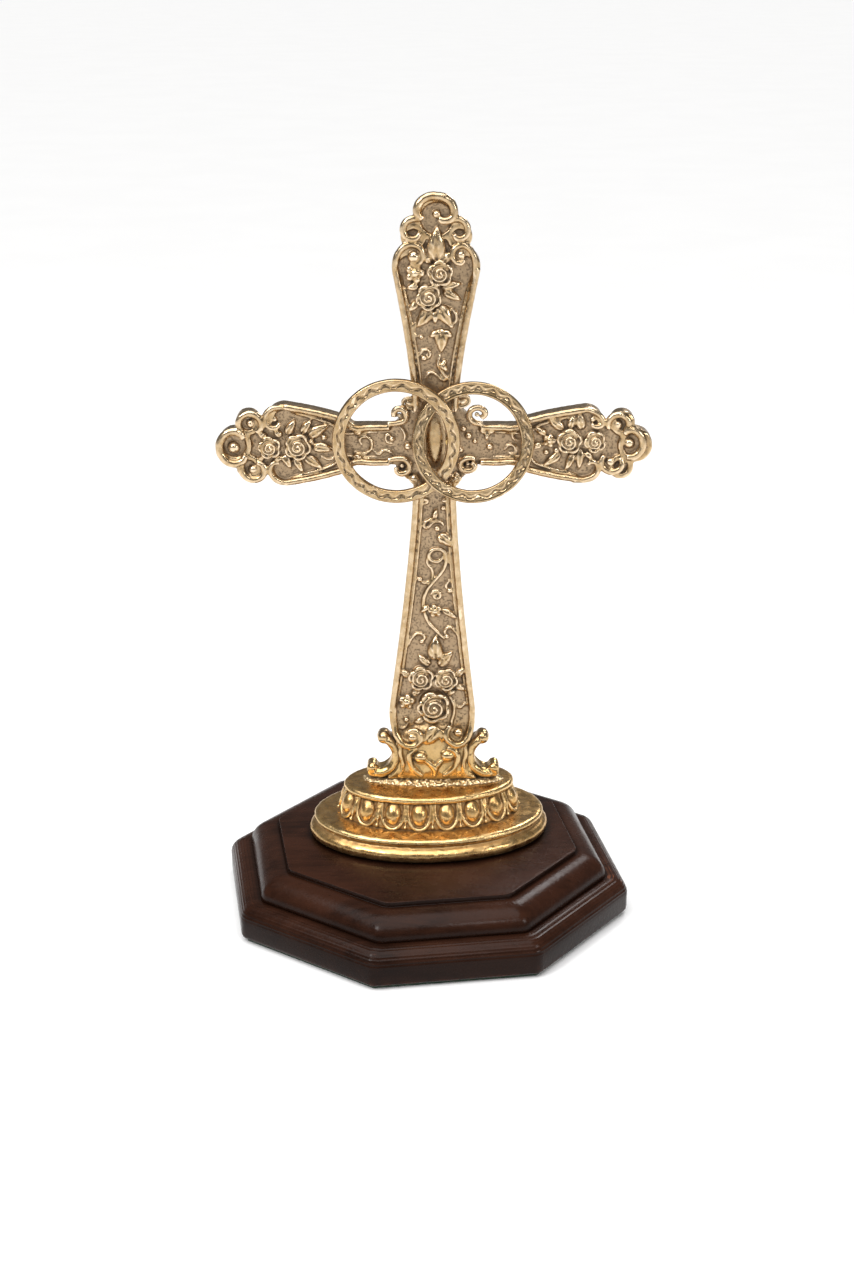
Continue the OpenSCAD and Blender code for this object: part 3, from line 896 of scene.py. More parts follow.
def stem_relief(bench, rise):
    """The climbing vine with its buds, and the bouquet of roses where the stem is widest."""
    stem = Relief(bench, "stem_relief", rise)
    stem.roll(curl(-2.6, -18.4, 1.7, 60, 1.1), 0.5, head=0.6)
    stem.repeat(stem.ball, (3.4, -18.4, 0.8), (3.2, -21, 0.8))
    stem.leaf(0.4, -24.6, 1.2, -21, 2)
    stem.roll([(0.2, -21.5), (-0.2, -24), (-3, -26.4), (-2.4, -27.6), (0.2, -25.6), (2.6, -25.8), (3.4, -27)],
              0.55)
    stem.ball(1.3, -27.8, 1.0)
    stem.leaf(1.6, -29.8, 6.6, -34, 4.2, 0.5, 2.8)
    stem.roll([(3.6, -36.6), (1.4, -39), (-1.2, -37.8), (-1, -35.8), (1.2, -34.8), (3.6, -35.8), (4.2, -38.6),
               (2.8, -42.4), (0.4, -45.4), (-2, -48.8), (-3.2, -52.6), (-2.8, -56.8), (-1.2, -60.4),
               (1.4, -63.4), (3.8, -66)], 0.68, tail=0.6)
    for volute in (
        [(-1.8, -37), (-2, -39.4), (-0.4, -42), (-0.6, -45), (-3, -46.4), (-4.4, -45)],
        [(7, -44.2), (5.2, -45.6), (4.2, -47.6), (5.4, -49)],
    ):
        stem.roll(volute, 0.5, head=0.9)
    stem.roll(curl(1, -50.8, 1.9, 180, -1.2), 0.5, head=0.5)
    stem.berries(0.6, -56, 2.5, 30)
    stem.repeat(stem.leaf, (3, -55.4, 8.2, -58.8, 2.4), (-1.4, -54, -4.4, -56.6, 1.8))
    for volute in (
        [(-8.2, -68.4), (-7, -65.4), (-4.8, -64), (-2.8, -65.2), (-3.8, -66.8)],
        [(8.8, -66.4), (7.4, -63.4), (5.4, -61.8), (3.8, -63.4), (4.6, -65)],
    ):
        stem.roll(volute, 0.55, head=0.8)
    stem.leaf(1, -73.4, 0.9, -64.4, 5.4, 0.75, 3.8)
    stem.roll([(1, -66), (1.6, -68.6), (0.9, -72)], 0.4, 1.1)
    stem.repeat(
        stem.leaf,
        (2, -75.6, 6.6, -70, 3.8, 0.55, 2.2), (-1, -75, -5, -71.2, 3), (2.6, -74, 3.8, -70.4, 2.2),
    )
    stem.repeat(stem.rose, (-4, -79.4, 4.1, 15), (4.3, -79.8, 3.8, 50), (0.2, -89.4, 5.3, 30))
    stem.repeat(
        stem.leaf,
        (-7.6, -79, -10.8, -76.6, 2.8), (7.8, -79, 10.6, -76, 2.8), (7.4, -82, 10.8, -84, 2.6),
    )
    stem.berries(-8.8, -88, 3, 10)
    stem.repeat(stem.leaf, (-7, -85.6, -3.4, -83.4, 2.6), (4.2, -85.2, 7.8, -84.2, 2.4))
    stem.roll([(3.8, -84.4), (6.4, -88), (7, -92), (6.2, -95.4), (6.4, -98)], 0.6)
    stem.roll([(7, -87.6), (8.8, -90.2), (10.8, -88.8), (12.2, -89.2)], 0.5)
    stem.repeat(
        stem.leaf,
        (1.6, -96.4, -3.4, -103, 5.6, 2.2, 2.8), (1.8, -97, 3.4, -102.4, 2.6, 2.1, 2.2),
        (-3, -94, -6.6, -95.6, 2.4),
    )
    stem.roll([(-12.2, -96.4), (-10.2, -97.8), (-8.2, -95.6)], 0.5)
    stem.repeat(stem.ball, (-9, -94.6, 0.9), (8.4, -98.6, 1.5, 1.9), (-6.9, -100.2, 1.7, 2.4))
    for volute in (
        [(-13, -90, 0.8), (-13, -96, 1.2), (-11.8, -100.6, 2.3), (-9, -103.2, 2.8), (-5.8, -102.9, 2.9),
         (-4.2, -100.4, 2.7), (-5.8, -98, 2.3), (-8.6, -98.4, 2.3)],
        [(12.8, -90, 0.8), (12.8, -96, 1.2), (11.4, -100.6, 2.3), (9, -102.8, 2.8), (6.2, -102.2, 2.9),
         (4.4, -99.4, 2.5), (5.6, -96.2, 1.9)],
    ):
        stem.roll(volute, 1.15, tail=0.8)
    return stem.stand_up()


def foot_relief(bench, rise):
    """Comma scrolls on the block at the bottom of the stem."""
    foot = Relief(bench, "foot_relief", rise)
    lift = 3.2
    foot.stamp(bench.ball, 0, -107.5, (13.6, 12, 3.4), 0, -0.5)
    foot.stamp(bench.ball, 0, -112.5, (14.5, 5.5, 3.2), 0, -0.2)
    foot.roll([(-5.2, -103.8), (-7.6, -105.6), (-7.9, -108.6), (-6.4, -111.6), (-3.6, -114)], 1.0, lift, 0.7)
    foot.roll([(4.6, -103.8), (7.6, -105.4), (8.2, -108.6), (6.6, -111.8), (3.4, -114)], 1.0, lift - 0.1, 0.7)
    foot.stamp(bench.ball, -4.2, -107.4, (2.5, 2.1, 2.2), 0, lift - 0.9)
    foot.stamp(bench.ball, 4.8, -106.8, (2.5, 2.1, 2.2), 0, lift - 0.9)
    foot.roll([(-2.6, -108.4), (-0.6, -109.8), (0.6, -111.6), (0.6, -114)], 1.1, lift - 0.1, 0.6)
    foot.roll([(3.2, -108.2), (1.6, -110), (0.9, -112)], 1.0, lift - 0.1, 0.6)
    for volute in (
        [(-10.6, -103), (-11, -106), (-10.2, -110.5), (-11.2, -115)],
        [(10.6, -103), (11, -106), (10.2, -110.5), (11.2, -115)],
    ):
        foot.roll(volute, 0.8, lift - 1.2)
    return foot.stand_up()


def side_line(neck, wide, begin, start, curve, reach, inset, steps=7):
    """One edge of a blade: half widths along it, from its beginning near the crossing outwards."""
    points = [(begin, neck / 2 - inset), ((begin + start) / 2, neck / 2 - inset)]
    for i in range(steps + 1):
        t = i / steps
        points.append((start + (reach - start) * t, (neck + (wide - neck) * t**curve) / 2 - inset))
    return points


def border_rolls(bench, rise):
    """Round rolls along the edges of the arms and the stem, and a thin bead inside each."""
    border = Relief(bench, "border_rolls", rise)
    blades = (
        (lambda a, b: (b, a), (14.2, 27.4, 11, 13, 1.4, 56)),
        (lambda a, b: (-a, b), (13.4, 26.8, 14.5, 26, 0.55, 47.8)),
        (lambda a, b: (a, b), (13.4, 25, 14.5, 26, 0.55, 47.8)),
        (lambda a, b: (b, -a), (13.4, 28.8, 11, 13, 1.4, 91.4)),
    )
    for place, (neck, wide, begin, start, curve, reach) in blades:
        outer = side_line(neck, wide, begin, start, curve, reach, 0.95)
        inner = side_line(neck, wide, begin + 4, start + 4, curve, reach - 2, 2.7)
        for side in (-1, 1):
            border.roll([place(a, side * b) for a, b in outer], 1.12, 0.9, 0.9)
            border.roll([place(a, side * b) for a, b in inner], 0.5, 0.35, 0.4)
    return creep(border.stand_up())


def drift(z):
    """Sideways creep of the casting at a height: 0.9 mm at the top, 0.5 at the arms, -0.5 at the foot."""
    if z > ARM_Z:
        return (0.5 + 0.4 * (z - ARM_Z) / ARM_DROP) * MM
    return (0.5 - (ARM_Z - z) / (ARM_Z - CROSS_LOW.z)) * MM


def creep(piece):
    for vertex in piece.data.vertices:
        vertex.co.x += drift(vertex.co.z)
    return piece


# The pieces


def model_cross(look):
    bench = Bench()
    blank = cad_copy("cross_body", "cross_blank")
    cast(blank, 0.4 * MM, 5, 10**7)
    creep(blank)
    makers = (
        border_rolls, upper_arm_relief, left_arm_relief, right_arm_relief, crossing_relief,
        stem_relief, foot_relief,
    )
    parts = [blank] + [make(bench, look.relief) for make in makers]
    cross = join(parts, "cross_casting")
    cast(cross, look.grain, 2, 10**7, 0.4)
    weather(cross, 0.07 * MM, 1.7 * MM, 3)
    triangles = 2 * len(cross.data.polygons)
    modify(cross, "DECIMATE", ratio=min(1, 192000 / triangles))
    choose(cross)
    bpy.ops.object.shade_smooth()
    bench.clear()
    return cross


def model_bracket(side):
    """A C scroll with a ball at its head and a curled toe, rolled edges and a hollow between them."""
    bench = Bench()
    node = "scroll_bracket_left" if side < 0 else "scroll_bracket_right"
    blank = cad_copy(node, node + "_blank")
    cast(blank, 0.35 * MM, 6, 10**7)
    scroll = Relief(bench, node + "_rolls", 1)
    centre_x = CROSS_MID.x + side * 18.7 * MM
    centre_z = CROSS_LOW.z + 8 * MM
    flip = Matrix.Scale(-1, 4, (1, 0, 0)) if side > 0 else Matrix.Identity(4)
    for lift in (-2.4, 2.4):
        scroll.roll(arc(0, 0, 6.5, -100, 60, 9), 1.75, lift, 0.8)
    scroll.roll(arc(0, 0, 6.9, -100, 60, 9), 1.2, 0, 0.8)
    head = math.radians(71)
    for lift in (-1.4, 0, 1.4):
        scroll.ball(6.5 * math.cos(head), 6.5 * math.sin(head), 2.25, lift)
    toe = arc(0, 0, 5.9, -105, -104, 1)[0]
    for lift in (-1.9, 0, 1.9):
        scroll.ball(toe[0] - 0.3, toe[1] + 1, 1.9, lift)
    rolls = scroll.stand_up(
        Matrix.Translation((centre_x, CROSS_MID.y, centre_z))
        @ flip
        @ Matrix(((MM, 0, 0, 0), (0, 0, -MM, 0), (0, MM, 0, 0), (0, 0, 0, 1)))
    )
    close_up(rolls)
    bracket = join([blank, rolls], node.replace("scroll_bracket", "foot_scroll"))
    cast(bracket, 0.3 * MM, 2, 60000, 0.4)
    weather(bracket, 0.07 * MM, 1.7 * MM, 5)
    bench.clear()
    return bracket


def model_ring(side, lean, size, shift, look):
    """A flat band with rounded corners, and a wavy line engraved round its front.

    The lean is in degrees towards the front, the size a share of the frame's ring, the shift in metres.
    """
    node = "ring_left" if side < 0 else "ring_right"
    place = middle(node) + Vector(shift)
    outer = extent(node).x / 2 * size
    band = 4.1 * MM
    depth = 2.3 * MM
    tube = 0.25
    squareness = 0.55
    deselect()
    bpy.ops.mesh.primitive_torus_add(
        major_radius=1, minor_radius=tube, major_segments=256, minor_segments=96
    )
    ring = rename(fresh(), node.replace("ring_", "wedding_ring_"))
    phase = 0.7 * side
    for vertex in ring.data.vertices:
        x, y, z = vertex.co
        turn = math.atan2(y, x)
        across = (math.hypot(x, y) - 1) / tube
        up = z / tube
        length = math.hypot(across, up) or 1
        across, up = across / length, up / length
        across = math.copysign(abs(across) ** squareness, across)
        up = math.copysign(abs(up) ** squareness, up)
        wobble = 0.05 * MM * noise.noise(Vector((math.cos(turn), math.sin(turn), phase)) * 4)
        radius = outer - band / 2 + across * band / 2 + wobble
        height = up * depth / 2
        if up > 0.2:
            wave = 0.28 * math.sin(look.waves * turn + 1.2 * math.sin(3 * turn + phase))
            line = across - wave
            cut = math.exp(-((line / 0.12) ** 2))
            bead = math.exp(-(((abs(across) - 0.82) / 0.2) ** 2))
            height += -look.groove * cut + 0.16 * MM * bead - 0.14 * MM * (line < 0)
        vertex.co = (radius * math.cos(turn), radius * math.sin(turn), height)
    tilt = Matrix.Rotation(math.radians(90 + lean), 4, "X")
    reshape(ring, Matrix.Translation(place) @ tilt)
    modify(ring, "SMOOTH", factor=0.4, iterations=1)
    weather(ring, 0.03 * MM, 2.4 * MM, 7 + side)
    choose(ring)
    bpy.ops.object.shade_smooth()
    return ring


def oval_stack(name, centre, turn, rings, points=160):
    """A closed oval turning: (half length, half depth, height) rings from the bottom up."""
    deselect()
    half, depth, z = rings[0]
    bpy.ops.mesh.primitive_circle_add(vertices=points, radius=1, fill_type="NGON")
    piece = rename(fresh(), name)
    piece.data.transform(Matrix.Translation((0, 0, z)) @ Matrix.Diagonal((half, depth, 1, 1)))
    bpy.ops.object.mode_set(mode="EDIT")
    bpy.ops.mesh.select_all(action="SELECT")
    for before, after in zip(rings, rings[1:]):
        bpy.ops.mesh.extrude_region_move(
            TRANSFORM_OT_translate={"value": (0, 0, after[2] - before[2])}
        )
        bpy.ops.transform.resize(
            value=(after[0] / before[0], after[1] / before[1], 1), center_override=(0, 0, after[2])
        )
    bpy.ops.object.mode_set(mode="OBJECT")
    reshape(
        piece,
        Matrix.Translation((centre.x, centre.y, 0)) @ Matrix.Rotation(turn, 4, "Z"),
    )
    return close_up(piece)


def rounded(half, depth, low, high, bulge, steps=7):
    """Rings of a roll between two heights, whose edge is a half round of that bulge."""
    rings = []
    for i in range(steps + 1):
        angle = -math.pi / 2 + math.pi * i / steps
        out = bulge * math.cos(angle) - bulge
        z = (low + high) / 2 + (high - low) / 2 * math.sin(angle)
        rings.append((half + out, depth + out, z))
    return rings


def model_pedestal_foot():
    low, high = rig.box("pedestal_foot")
    height = high.z - low.z
    half, depth = 40.8 * MM, 28.2 * MM
    torus_top = low.z + height - 3.2 * MM
    rings = rounded(half, depth, low.z, torus_top, 2.4 * MM)
    rings += [(half - 3 * MM, depth - 3 * MM, torus_top + 0.2 * MM),
              (half - 3 * MM, depth - 3 * MM, torus_top + 0.7 * MM)]
    rings += rounded(half - 1.6 * MM, depth - 1.6 * MM, torus_top + 0.7 * MM, high.z, 1.3 * MM)
    rings += [(half * 0.6, depth * 0.6, high.z)]
    foot = oval_stack("pedestal_base", PEDESTAL_MID, PEDESTAL_TURN, rings)
    cast(foot, 0.45 * MM, 3, 10**7)
    weather(foot, 0.16 * MM, 5 * MM, 11)
    modify(foot, "DECIMATE", ratio=0.6)
    choose(foot)
    bpy.ops.object.shade_smooth()
    return foot


def model_pedestal_cap():
    low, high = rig.box("pedestal_cap")
    rings = rounded(28.9 * MM, 17.3 * MM, low.z, high.z, 1.2 * MM)
    rings += [(17 * MM, 10 * MM, high.z)]
    cap = oval_stack("pedestal_top", PEDESTAL_MID, PEDESTAL_TURN, rings)
    cast(cap, 0.4 * MM, 3, 10**7)
    weather(cap, 0.14 * MM, 4.5 * MM, 12)
    return cap


def model_egg_band(look):
    """A leaning oval wall with eggs in raised cups and a dart between each two."""
    bench = Bench()
    low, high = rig.box("egg_band")
    height = high.z - low.z
    half, depth, lean = 30.6 * MM, 19 * MM, 3.6 * MM
    wall = oval_stack(
        "egg_wall", PEDESTAL_MID, PEDESTAL_TURN,
        [(half - 0.6 * MM, depth - 0.6 * MM, low.z), (half - 0.6 * MM, depth - 0.6 * MM, low.z + 0.8 * MM),
         (half - lean / 2 - 0.8 * MM, depth - lean / 2 - 0.8 * MM, low.z + height * 0.6),
         (half - lean, depth - lean, high.z - 0.2 * MM), (half - lean, depth - lean, high.z)],
        128,
    )
    cup = Relief(bench, "egg_pattern", 1)
    cup.stamp(bench.ball, 0, 0.7, (2.8, 3.9, 2.3), 0, 0.3)
    cup.roll([(-3.9, 4.2), (-4, 1.4), (-3.4, -1.6), (-1.9, -3.8), (0, -4.5), (1.9, -3.8), (3.4, -1.6),
              (4, 1.4), (3.9, 4.2)], 0.6, 0.5, 1)
    cup.leaf(4.6, 3.6, 4.6, -3.6, 1.1, 0.35, 1.8)
    cup.ball(4.6, -3.6, 0.55, 0.5)
    pattern = cup.stand_up(Matrix.Identity(4))
    a, b = half - lean / 2 - 0.5 * MM, depth - lean / 2 - 0.5 * MM
    steps = 720
    rim = [Vector((a * math.cos(TAU * i / steps), b * math.sin(TAU * i / steps))) for i in range(steps + 1)]
    run = [0.0]
    for i in range(steps):
        run.append(run[-1] + (rim[i + 1] - rim[i]).length)
    pitch = run[-1] / look.eggs
    stretch = pitch / (9.2 * MM)
    parts = [wall]
    place = 0
    for egg in range(look.eggs):
        goal = (egg + 0.5) * pitch
        while run[place + 1] < goal:
            place += 1
        spot = rim[place]
        out = Vector((spot.x / a**2, spot.y / b**2, 0)).normalized()
        tilt = math.atan2(lean, height)
        outward = (out * math.cos(tilt) + Vector((0, 0, math.sin(tilt)))).normalized()
        along = Vector((0, 0, 1)).cross(out)
        up = outward.cross(along)
        axes = Matrix((along, up, outward)).transposed().to_4x4()
        piece = bench_copy(pattern, "egg")
        reshape(
            piece,
            Matrix.Translation((PEDESTAL_MID.x, PEDESTAL_MID.y, low.z + height / 2))
            @ Matrix.Rotation(PEDESTAL_TURN, 4, "Z")
            @ Matrix.Translation((spot.x, spot.y, 0))
            @ axes
            @ Matrix.Diagonal((MM * stretch, MM, MM, 1)),
        )
        parts.append(piece)
    bpy.data.objects.remove(pattern)
    band = join(parts, "egg_and_dart_band")
    cast(band, 0.28 * MM, 2, 150000, 0.4)
    weather(band, 0.06 * MM, 1.8 * MM, 14)
    for vertex in band.data.vertices:
        vertex.co.z = min(max(vertex.co.z, low.z), high.z)
    bench.clear()
    return band


def model_glue_bed():
    """Lumpy gilded putty squeezed out round the foot of the cross."""
    low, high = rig.box("glue_bed")
    mid, size = middle("glue_bed"), extent("glue_bed")
    bench = Bench()
    rings = [(size.x / 2 - 0.5 * MM, size.y / 2 - 0.5 * MM, low.z - 0.1 * MM),
             (size.x / 2 - 1.2 * MM, size.y / 2 - 1 * MM, low.z + 0.4 * MM),
             (size.x / 2 - 3.5 * MM, size.y / 2 - 2.2 * MM, high.z - 0.3 * MM)]
    bed = oval_stack("bed_heart", mid, 0, rings, 96)
    grains = random.Random(21)
    parts = [bed]
    for _ in range(700):
        angle = grains.uniform(0, TAU)
        reach = grains.uniform(0.45, 1.0)
        grain_r = grains.uniform(0.25, 0.6) * MM
        spot = Vector((
            mid.x + reach * (size.x / 2 - grain_r * 0.8) * math.cos(angle),
            mid.y + reach * (size.y / 2 - grain_r * 0.8) * math.sin(angle),
            low.z + (1 - reach**5) * grains.uniform(0.7, 1.05) * (high.z - low.z),
        ))
        grain = bench_copy(bench.ball, "grain")
        reshape(grain, Matrix.Translation(spot) @ Matrix.Scale(grain_r, 4))
        parts.append(grain)
    putty = join(parts, "bedding_putty")
    cast(putty, 0.26 * MM, 1, 90000, 0.4)
    weather(putty, 0.12 * MM, 1.1 * MM, 15)
    for vertex in putty.data.vertices:
        vertex.co.z = max(vertex.co.z, low.z)
    bench.clear()
    return putty


def moulded_board(name, rings, corner):
    """An eight-sided board: (half width across the flats, height) rings from the bottom up."""
    deselect()
    half, z = rings[0]
    bpy.ops.mesh.primitive_circle_add(
        vertices=8, radius=half / math.cos(math.pi / 8), fill_type="NGON",
        location=(0, 0, z), rotation=(0, 0, math.pi / 8),
    )
    board = rename(settle(fresh()), name)
    bpy.ops.object.mode_set(mode="EDIT")
    bpy.ops.mesh.select_all(action="SELECT")
    for (before, low), (after, high) in zip(rings, rings[1:]):
        bpy.ops.mesh.extrude_region_move(TRANSFORM_OT_translate={"value": (0, 0, high - low)})
        share = after / before
        bpy.ops.transform.resize(value=(share, share, 1), center_override=(0, 0, high))
    bpy.ops.object.mode_set(mode="OBJECT")
    close_up(board)
    mesh = board.data
    for part in (mesh.vertices, mesh.edges, mesh.polygons):
        for each in part:
            each.select = False
    for edge in mesh.edges:
        a, b = (mesh.vertices[i].co for i in edge.vertices)
        around = [math.atan2(p.y, p.x) for p in (a, b)]
        if abs(around[0] - around[1]) < 0.01 and (a - b).length > 0.01 * MM:
            edge.select = True
    bpy.ops.object.mode_set(mode="EDIT")
    bpy.ops.mesh.select_mode(type="EDGE")
    bpy.ops.mesh.bevel(offset=corner, segments=3, affect="EDGES", profile=0.5)
    bpy.ops.object.mode_set(mode="OBJECT")
    modify(board, "BEVEL", width=0.3 * MM, segments=3, limit_method="ANGLE", angle_limit=math.radians(32))
    modify(board, "TRIANGULATE")
    reshape(board, Matrix.Rotation(PLINTH_TURN, 4, "Z"))
    choose(board)
    bpy.ops.object.shade_smooth_by_angle(angle=math.radians(28))
    return board


def ovolo(out, low, inner, high, steps=8):
    """Rings of a quarter round from (out, low) in to (inner, high)."""
    rings = []
    for i in range(steps + 1):
        angle = math.pi / 2 * i / steps
        rings.append((inner + (out - inner) * math.cos(angle), low + (high - low) * math.sin(angle)))
    return rings


def model_lower_board(look):
    low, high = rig.box("plinth_lower")
    half = 65 * MM
    rings = [(half, low.z)] + ovolo(half, low.z + 6.7 * MM, half - 5.6 * MM, high.z)
    return moulded_board("plinth_lower_board", rings, look.corner)


def model_upper_board(look):
    low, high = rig.box("plinth_upper")
    foot = 58 * MM
    edge = foot - 8.6 * MM
    rings = [(foot, low.z)] + ovolo(foot, low.z + 0.4 * MM, edge, low.z + 7.8 * MM)
    rings += [(edge - 0.9 * MM, low.z + 7.5 * MM), (edge - 0.9 * MM, high.z)]
    return moulded_board("plinth_upper_board", rings, look.corner)


# Operators


class TABLE_CROSS_OT_stage(bpy.types.Operator):
    """Lay the floor and set the lights and the camera"""

    bl_idname = "table_cross.stage"
    bl_label = "Stage"

    def execute(self, context):
        look = context.scene.table_cross_stage
        deselect()
        bpy.ops.mesh.primitive_plane_add(size=30, location=(0, 6, -0.02 * MM))
        floor = rename(settle(fresh()), "floor")
        finish = Finish("floor_paper")
        finish.shader.inputs["Roughness"].default_value = 0.6
        tone = finish.band(finish.noise(9, 2), 0.3, 0.7)
        shade = tuple(c * 0.985 for c in look.floor)
        floor.data.materials.append(finish.wear(Base_Color=finish.mix(tone, shade, tuple(look.floor))))
        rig.stage(floor)
        world = bpy.data.worlds.new("studio")
        world.use_nodes = True
        world.node_tree.nodes["Background"].inputs["Color"].default_value = (1, 0.99, 0.97, 1)
        paths = world.node_tree.nodes.new("ShaderNodeLightPath")
        glow = world.node_tree.nodes.new("ShaderNodeMapRange")
        glow.inputs["To Min"].default_value = look.room
        world.node_tree.links.new(paths.outputs["Is Camera Ray"], glow.inputs["Value"])
        strength = world.node_tree.nodes["Background"].inputs["Strength"]
        world.node_tree.links.new(glow.outputs["Result"], strength)
        context.scene.world = world
        bpy.ops.object.light_add(type="SUN", rotation=(math.radians(14), math.radians(-10), 0))
        sky = fresh()
        sky.name = "overhead_light"
        sky.data.energy = look.sky
        sky.data.angle = math.radians(70)
        for name, spot, power, size in (
            ("key_light", (-0.5, -0.45, 0.62), look.key, 0.2),
            ("fill_light", (0.62, -0.4, 0.36), look.key * 0.4, 0.15),
            ("rim_light", (0.25, 0.45, 0.5), look.key * 0.5, 0.18),
            ("spark_light", (0.3, -0.66, 0.6), look.key * 0.3, 0.1),
        ):
            bpy.ops.object.light_add(type="AREA", location=spot)
            light = fresh()
            light.name = name
            light.data.energy = power
            light.data.size = size
            aim = LIGHT_AIM - Vector(spot)
            light.rotation_euler = aim.to_track_quat("-Z", "Y").to_euler()
        bpy.ops.object.camera_add(location=CAMERA_PLACE)
        camera = fresh()
        camera.data.lens = look.lens
        camera.data.sensor_width = 36
        camera.data.clip_start = 0.01
        aim = CAMERA_AIM - camera.location
        camera.rotation_euler = aim.to_track_quat("-Z", "Y").to_euler()
        context.scene.camera = camera
        context.scene.view_settings.view_transform = "Standard"
        return {"FINISHED"}


class TABLE_CROSS_OT_plinth(bpy.types.Operator):
    """Model the two stained boards of the octagonal plinth"""

    bl_idname = "table_cross.plinth"
    bl_label = "Plinth boards"

    def execute(self, context):
        look = context.scene.table_cross_plinth
        wood = stained_wood("dark_wood_lacquered", tuple(look.stain), tuple(look.worn_and_highlight), 0.2)
        finish_piece(model_lower_board(look), wood, "dark_wood", "plinth_lower")
        finish_piece(model_upper_board(look), wood, "dark_wood", "plinth_upper")
        return {"FINISHED"}


class TABLE_CROSS_OT_pedestal(bpy.types.Operator):
    """Model the oval pedestal: its foot, the egg-and-dart band, the cap and the putty"""

    bl_idname = "table_cross.pedestal"
    bl_label = "Pedestal"

    def execute(self, context):
        look = context.scene.table_cross_pedestal
        patina = (0.07, 0.036, 0.014)
        leaf = gilt("gold_leaf_warm", tuple(look.leaf), patina, 1.2 * MM, 0.7, (1.0, 0.88, 0.68), 0.22)
        putty = gilt("gilded_putty", (0.66, 0.5, 0.28), patina, 0.9 * MM, 0.85, (0.95, 0.88, 0.7), 0.3)
        finish_piece(model_pedestal_foot(), leaf, "gold_leaf", "pedestal_foot")
        finish_piece(model_egg_band(look), leaf, "gold_leaf", "egg_band")
        finish_piece(model_pedestal_cap(), leaf, "gold_leaf", "pedestal_cap")
        finish_piece(model_glue_bed(), putty, "gilded_putty", "glue_bed")
        return {"FINISHED"}


class TABLE_CROSS_OT_cross(bpy.types.Operator):
    """Model the cast cross with its relief, and the two foot scrolls"""

    bl_idname = "table_cross.cross"
    bl_label = "Cross"

    def execute(self, context):
        look = context.scene.table_cross_cross
        metal = (tuple(look.gold), tuple(look.patina), 1.3 * MM, 0.95, (1.0, 0.88, 0.68), 0.15)
        relief_gold = gilt("antique_gold_relief", *metal, FRONT_Y, CROSS_LOW.z)
        gold = gilt("antique_gold_cast", *metal, None, CROSS_LOW.z)
        finish_piece(model_cross(look), relief_gold, "antique_gold", "cross_body")
        finish_piece(model_bracket(-1), gold, "antique_gold", "scroll_bracket_left")
        finish_piece(model_bracket(1), gold, "antique_gold", "scroll_bracket_right")
        return {"FINISHED"}


class TABLE_CROSS_OT_rings(bpy.types.Operator):
    """Model the two linked rings"""

    bl_idname = "table_cross.rings"
    bl_label = "Rings"

    def execute(self, context):
        look = context.scene.table_cross_ring
        cross = context.scene.table_cross_cross
        colours = (tuple(cross.gold), tuple(cross.patina))
        gold = gilt("ring_gold_rubbed", *colours, 0.6 * MM, 0.95, (1.0, 0.88, 0.68), 0.14)
        left = model_ring(-1, 2, 1.035, (0.9 * MM, 0, 0.4 * MM), look)
        right = model_ring(1, -6.5, 0.985, (-0.2 * MM, 0, 0), look)
        finish_piece(left, gold, "ring_gold", "ring_left")
        finish_piece(right, gold, "ring_gold", "ring_right")
        return {"FINISHED"}


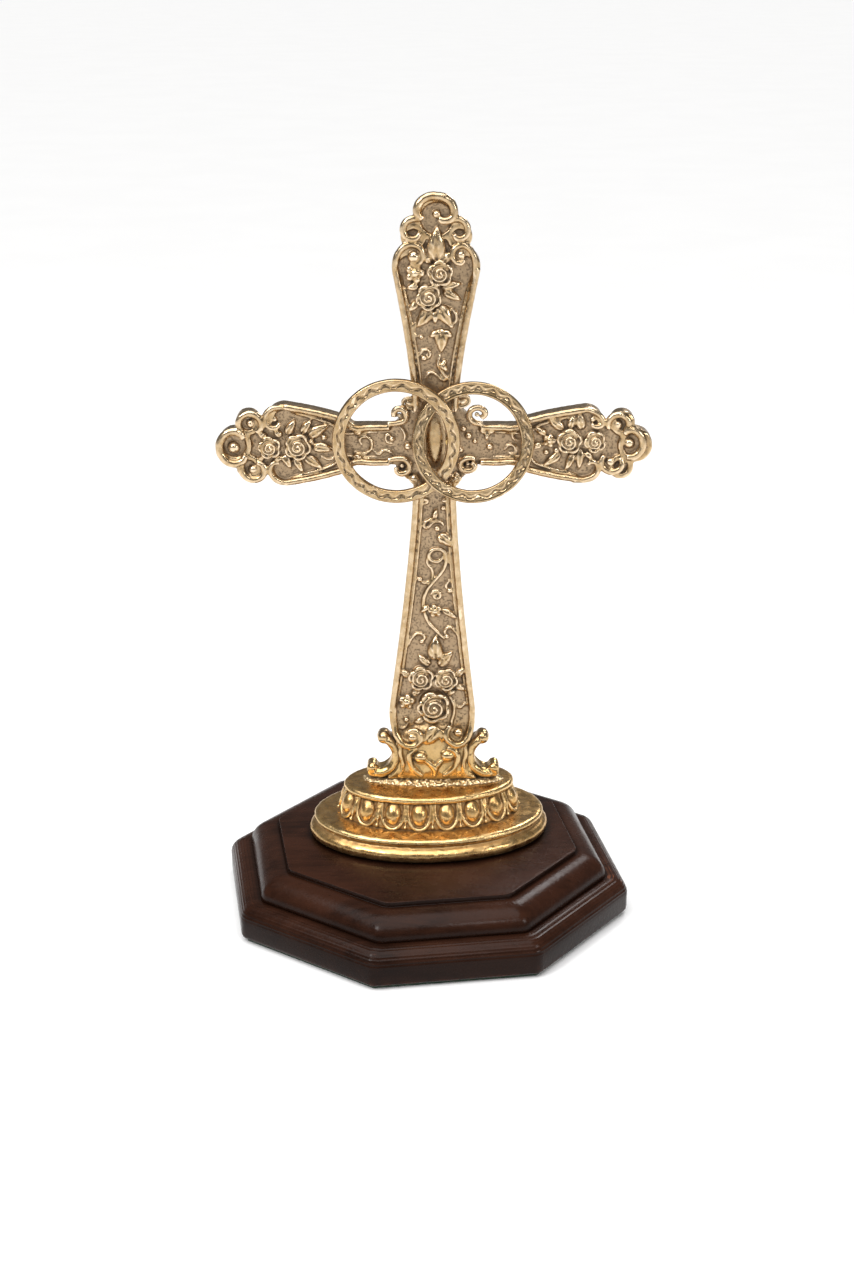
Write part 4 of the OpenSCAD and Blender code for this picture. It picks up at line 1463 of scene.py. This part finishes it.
class TABLE_CROSS_OT_fixings(bpy.types.Operator):
    """Give the hidden fixings and the felt their finishes"""

    bl_idname = "table_cross.fixings"
    bl_label = "Fixings and felt"

    def execute(self, context):
        steel = turned_metal(
            "zinc_plated_steel", (0.42, 0.42, 0.43), (0.68, 0.68, 0.67), 2200, 0.08, (0.25, 0.42)
        )
        brass = turned_metal("turned_brass", (0.45, 0.3, 0.11), (0.72, 0.5, 0.2), 1900, 0.1, (0.22, 0.4))
        felt = felt_finish("wool_felt")
        finishes = {
            "board_screws": steel, "tie_nut": steel, "tie_washer": steel, "tie_rod": steel,
            "locating_pins": brass, "ring_pegs": brass, "felt_pad": felt,
        }
        for node, material in finishes.items():
            mesh = frame["nodes"][node].data
            mesh.materials.clear()
            mesh.materials.append(material)
        return {"FINISHED"}


class TABLE_CROSS_PT_panel(bpy.types.Panel):
    """Lists the pieces of the table cross"""

    bl_label = "Table Cross"
    bl_idname = "TABLE_CROSS_PT_panel"
    bl_space_type = "VIEW_3D"
    bl_region_type = "UI"
    bl_category = "Table Cross"

    def draw(self, context):
        scene = context.scene
        layout = self.layout
        for step, settings in STEPS:
            box = layout.box()
            box.operator(step)
            group = getattr(scene, settings, None) if settings else None
            for key in group.bl_rna.properties.keys() if group else ():
                if key not in ("rna_type", "name"):
                    box.prop(group, key)


STEPS = (
    ("table_cross.plinth", "table_cross_plinth"),
    ("table_cross.pedestal", "table_cross_pedestal"),
    ("table_cross.cross", "table_cross_cross"),
    ("table_cross.rings", "table_cross_ring"),
    ("table_cross.fixings", None),
    ("table_cross.stage", "table_cross_stage"),
)
SETTINGS = {
    "table_cross_cross": CrossLook,
    "table_cross_ring": RingLook,
    "table_cross_pedestal": PedestalLook,
    "table_cross_plinth": PlinthLook,
    "table_cross_stage": StageLook,
}
CLASSES = (
    *SETTINGS.values(),
    TABLE_CROSS_OT_stage,
    TABLE_CROSS_OT_plinth,
    TABLE_CROSS_OT_pedestal,
    TABLE_CROSS_OT_cross,
    TABLE_CROSS_OT_rings,
    TABLE_CROSS_OT_fixings,
    TABLE_CROSS_PT_panel,
)


def register():
    for each in CLASSES:
        bpy.utils.register_class(each)
    for name, settings in SETTINGS.items():
        setattr(bpy.types.Scene, name, PointerProperty(type=settings))


def unregister():
    for name in SETTINGS:
        delattr(bpy.types.Scene, name)
    for each in reversed(CLASSES):
        bpy.utils.unregister_class(each)


def main():
    register()
    for name, _ in STEPS:
        family, step = name.split(".")
        getattr(getattr(bpy.ops, family), step)()
    sizes = {
        "cad_box": [list(corner) for corner in CAD_BOX],
        "visual_box": [list(corner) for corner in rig.bounds()],
    }
    with open("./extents.json", "w") as out:
        json.dump(sizes, out)


if __name__ == "__main__":
    main()
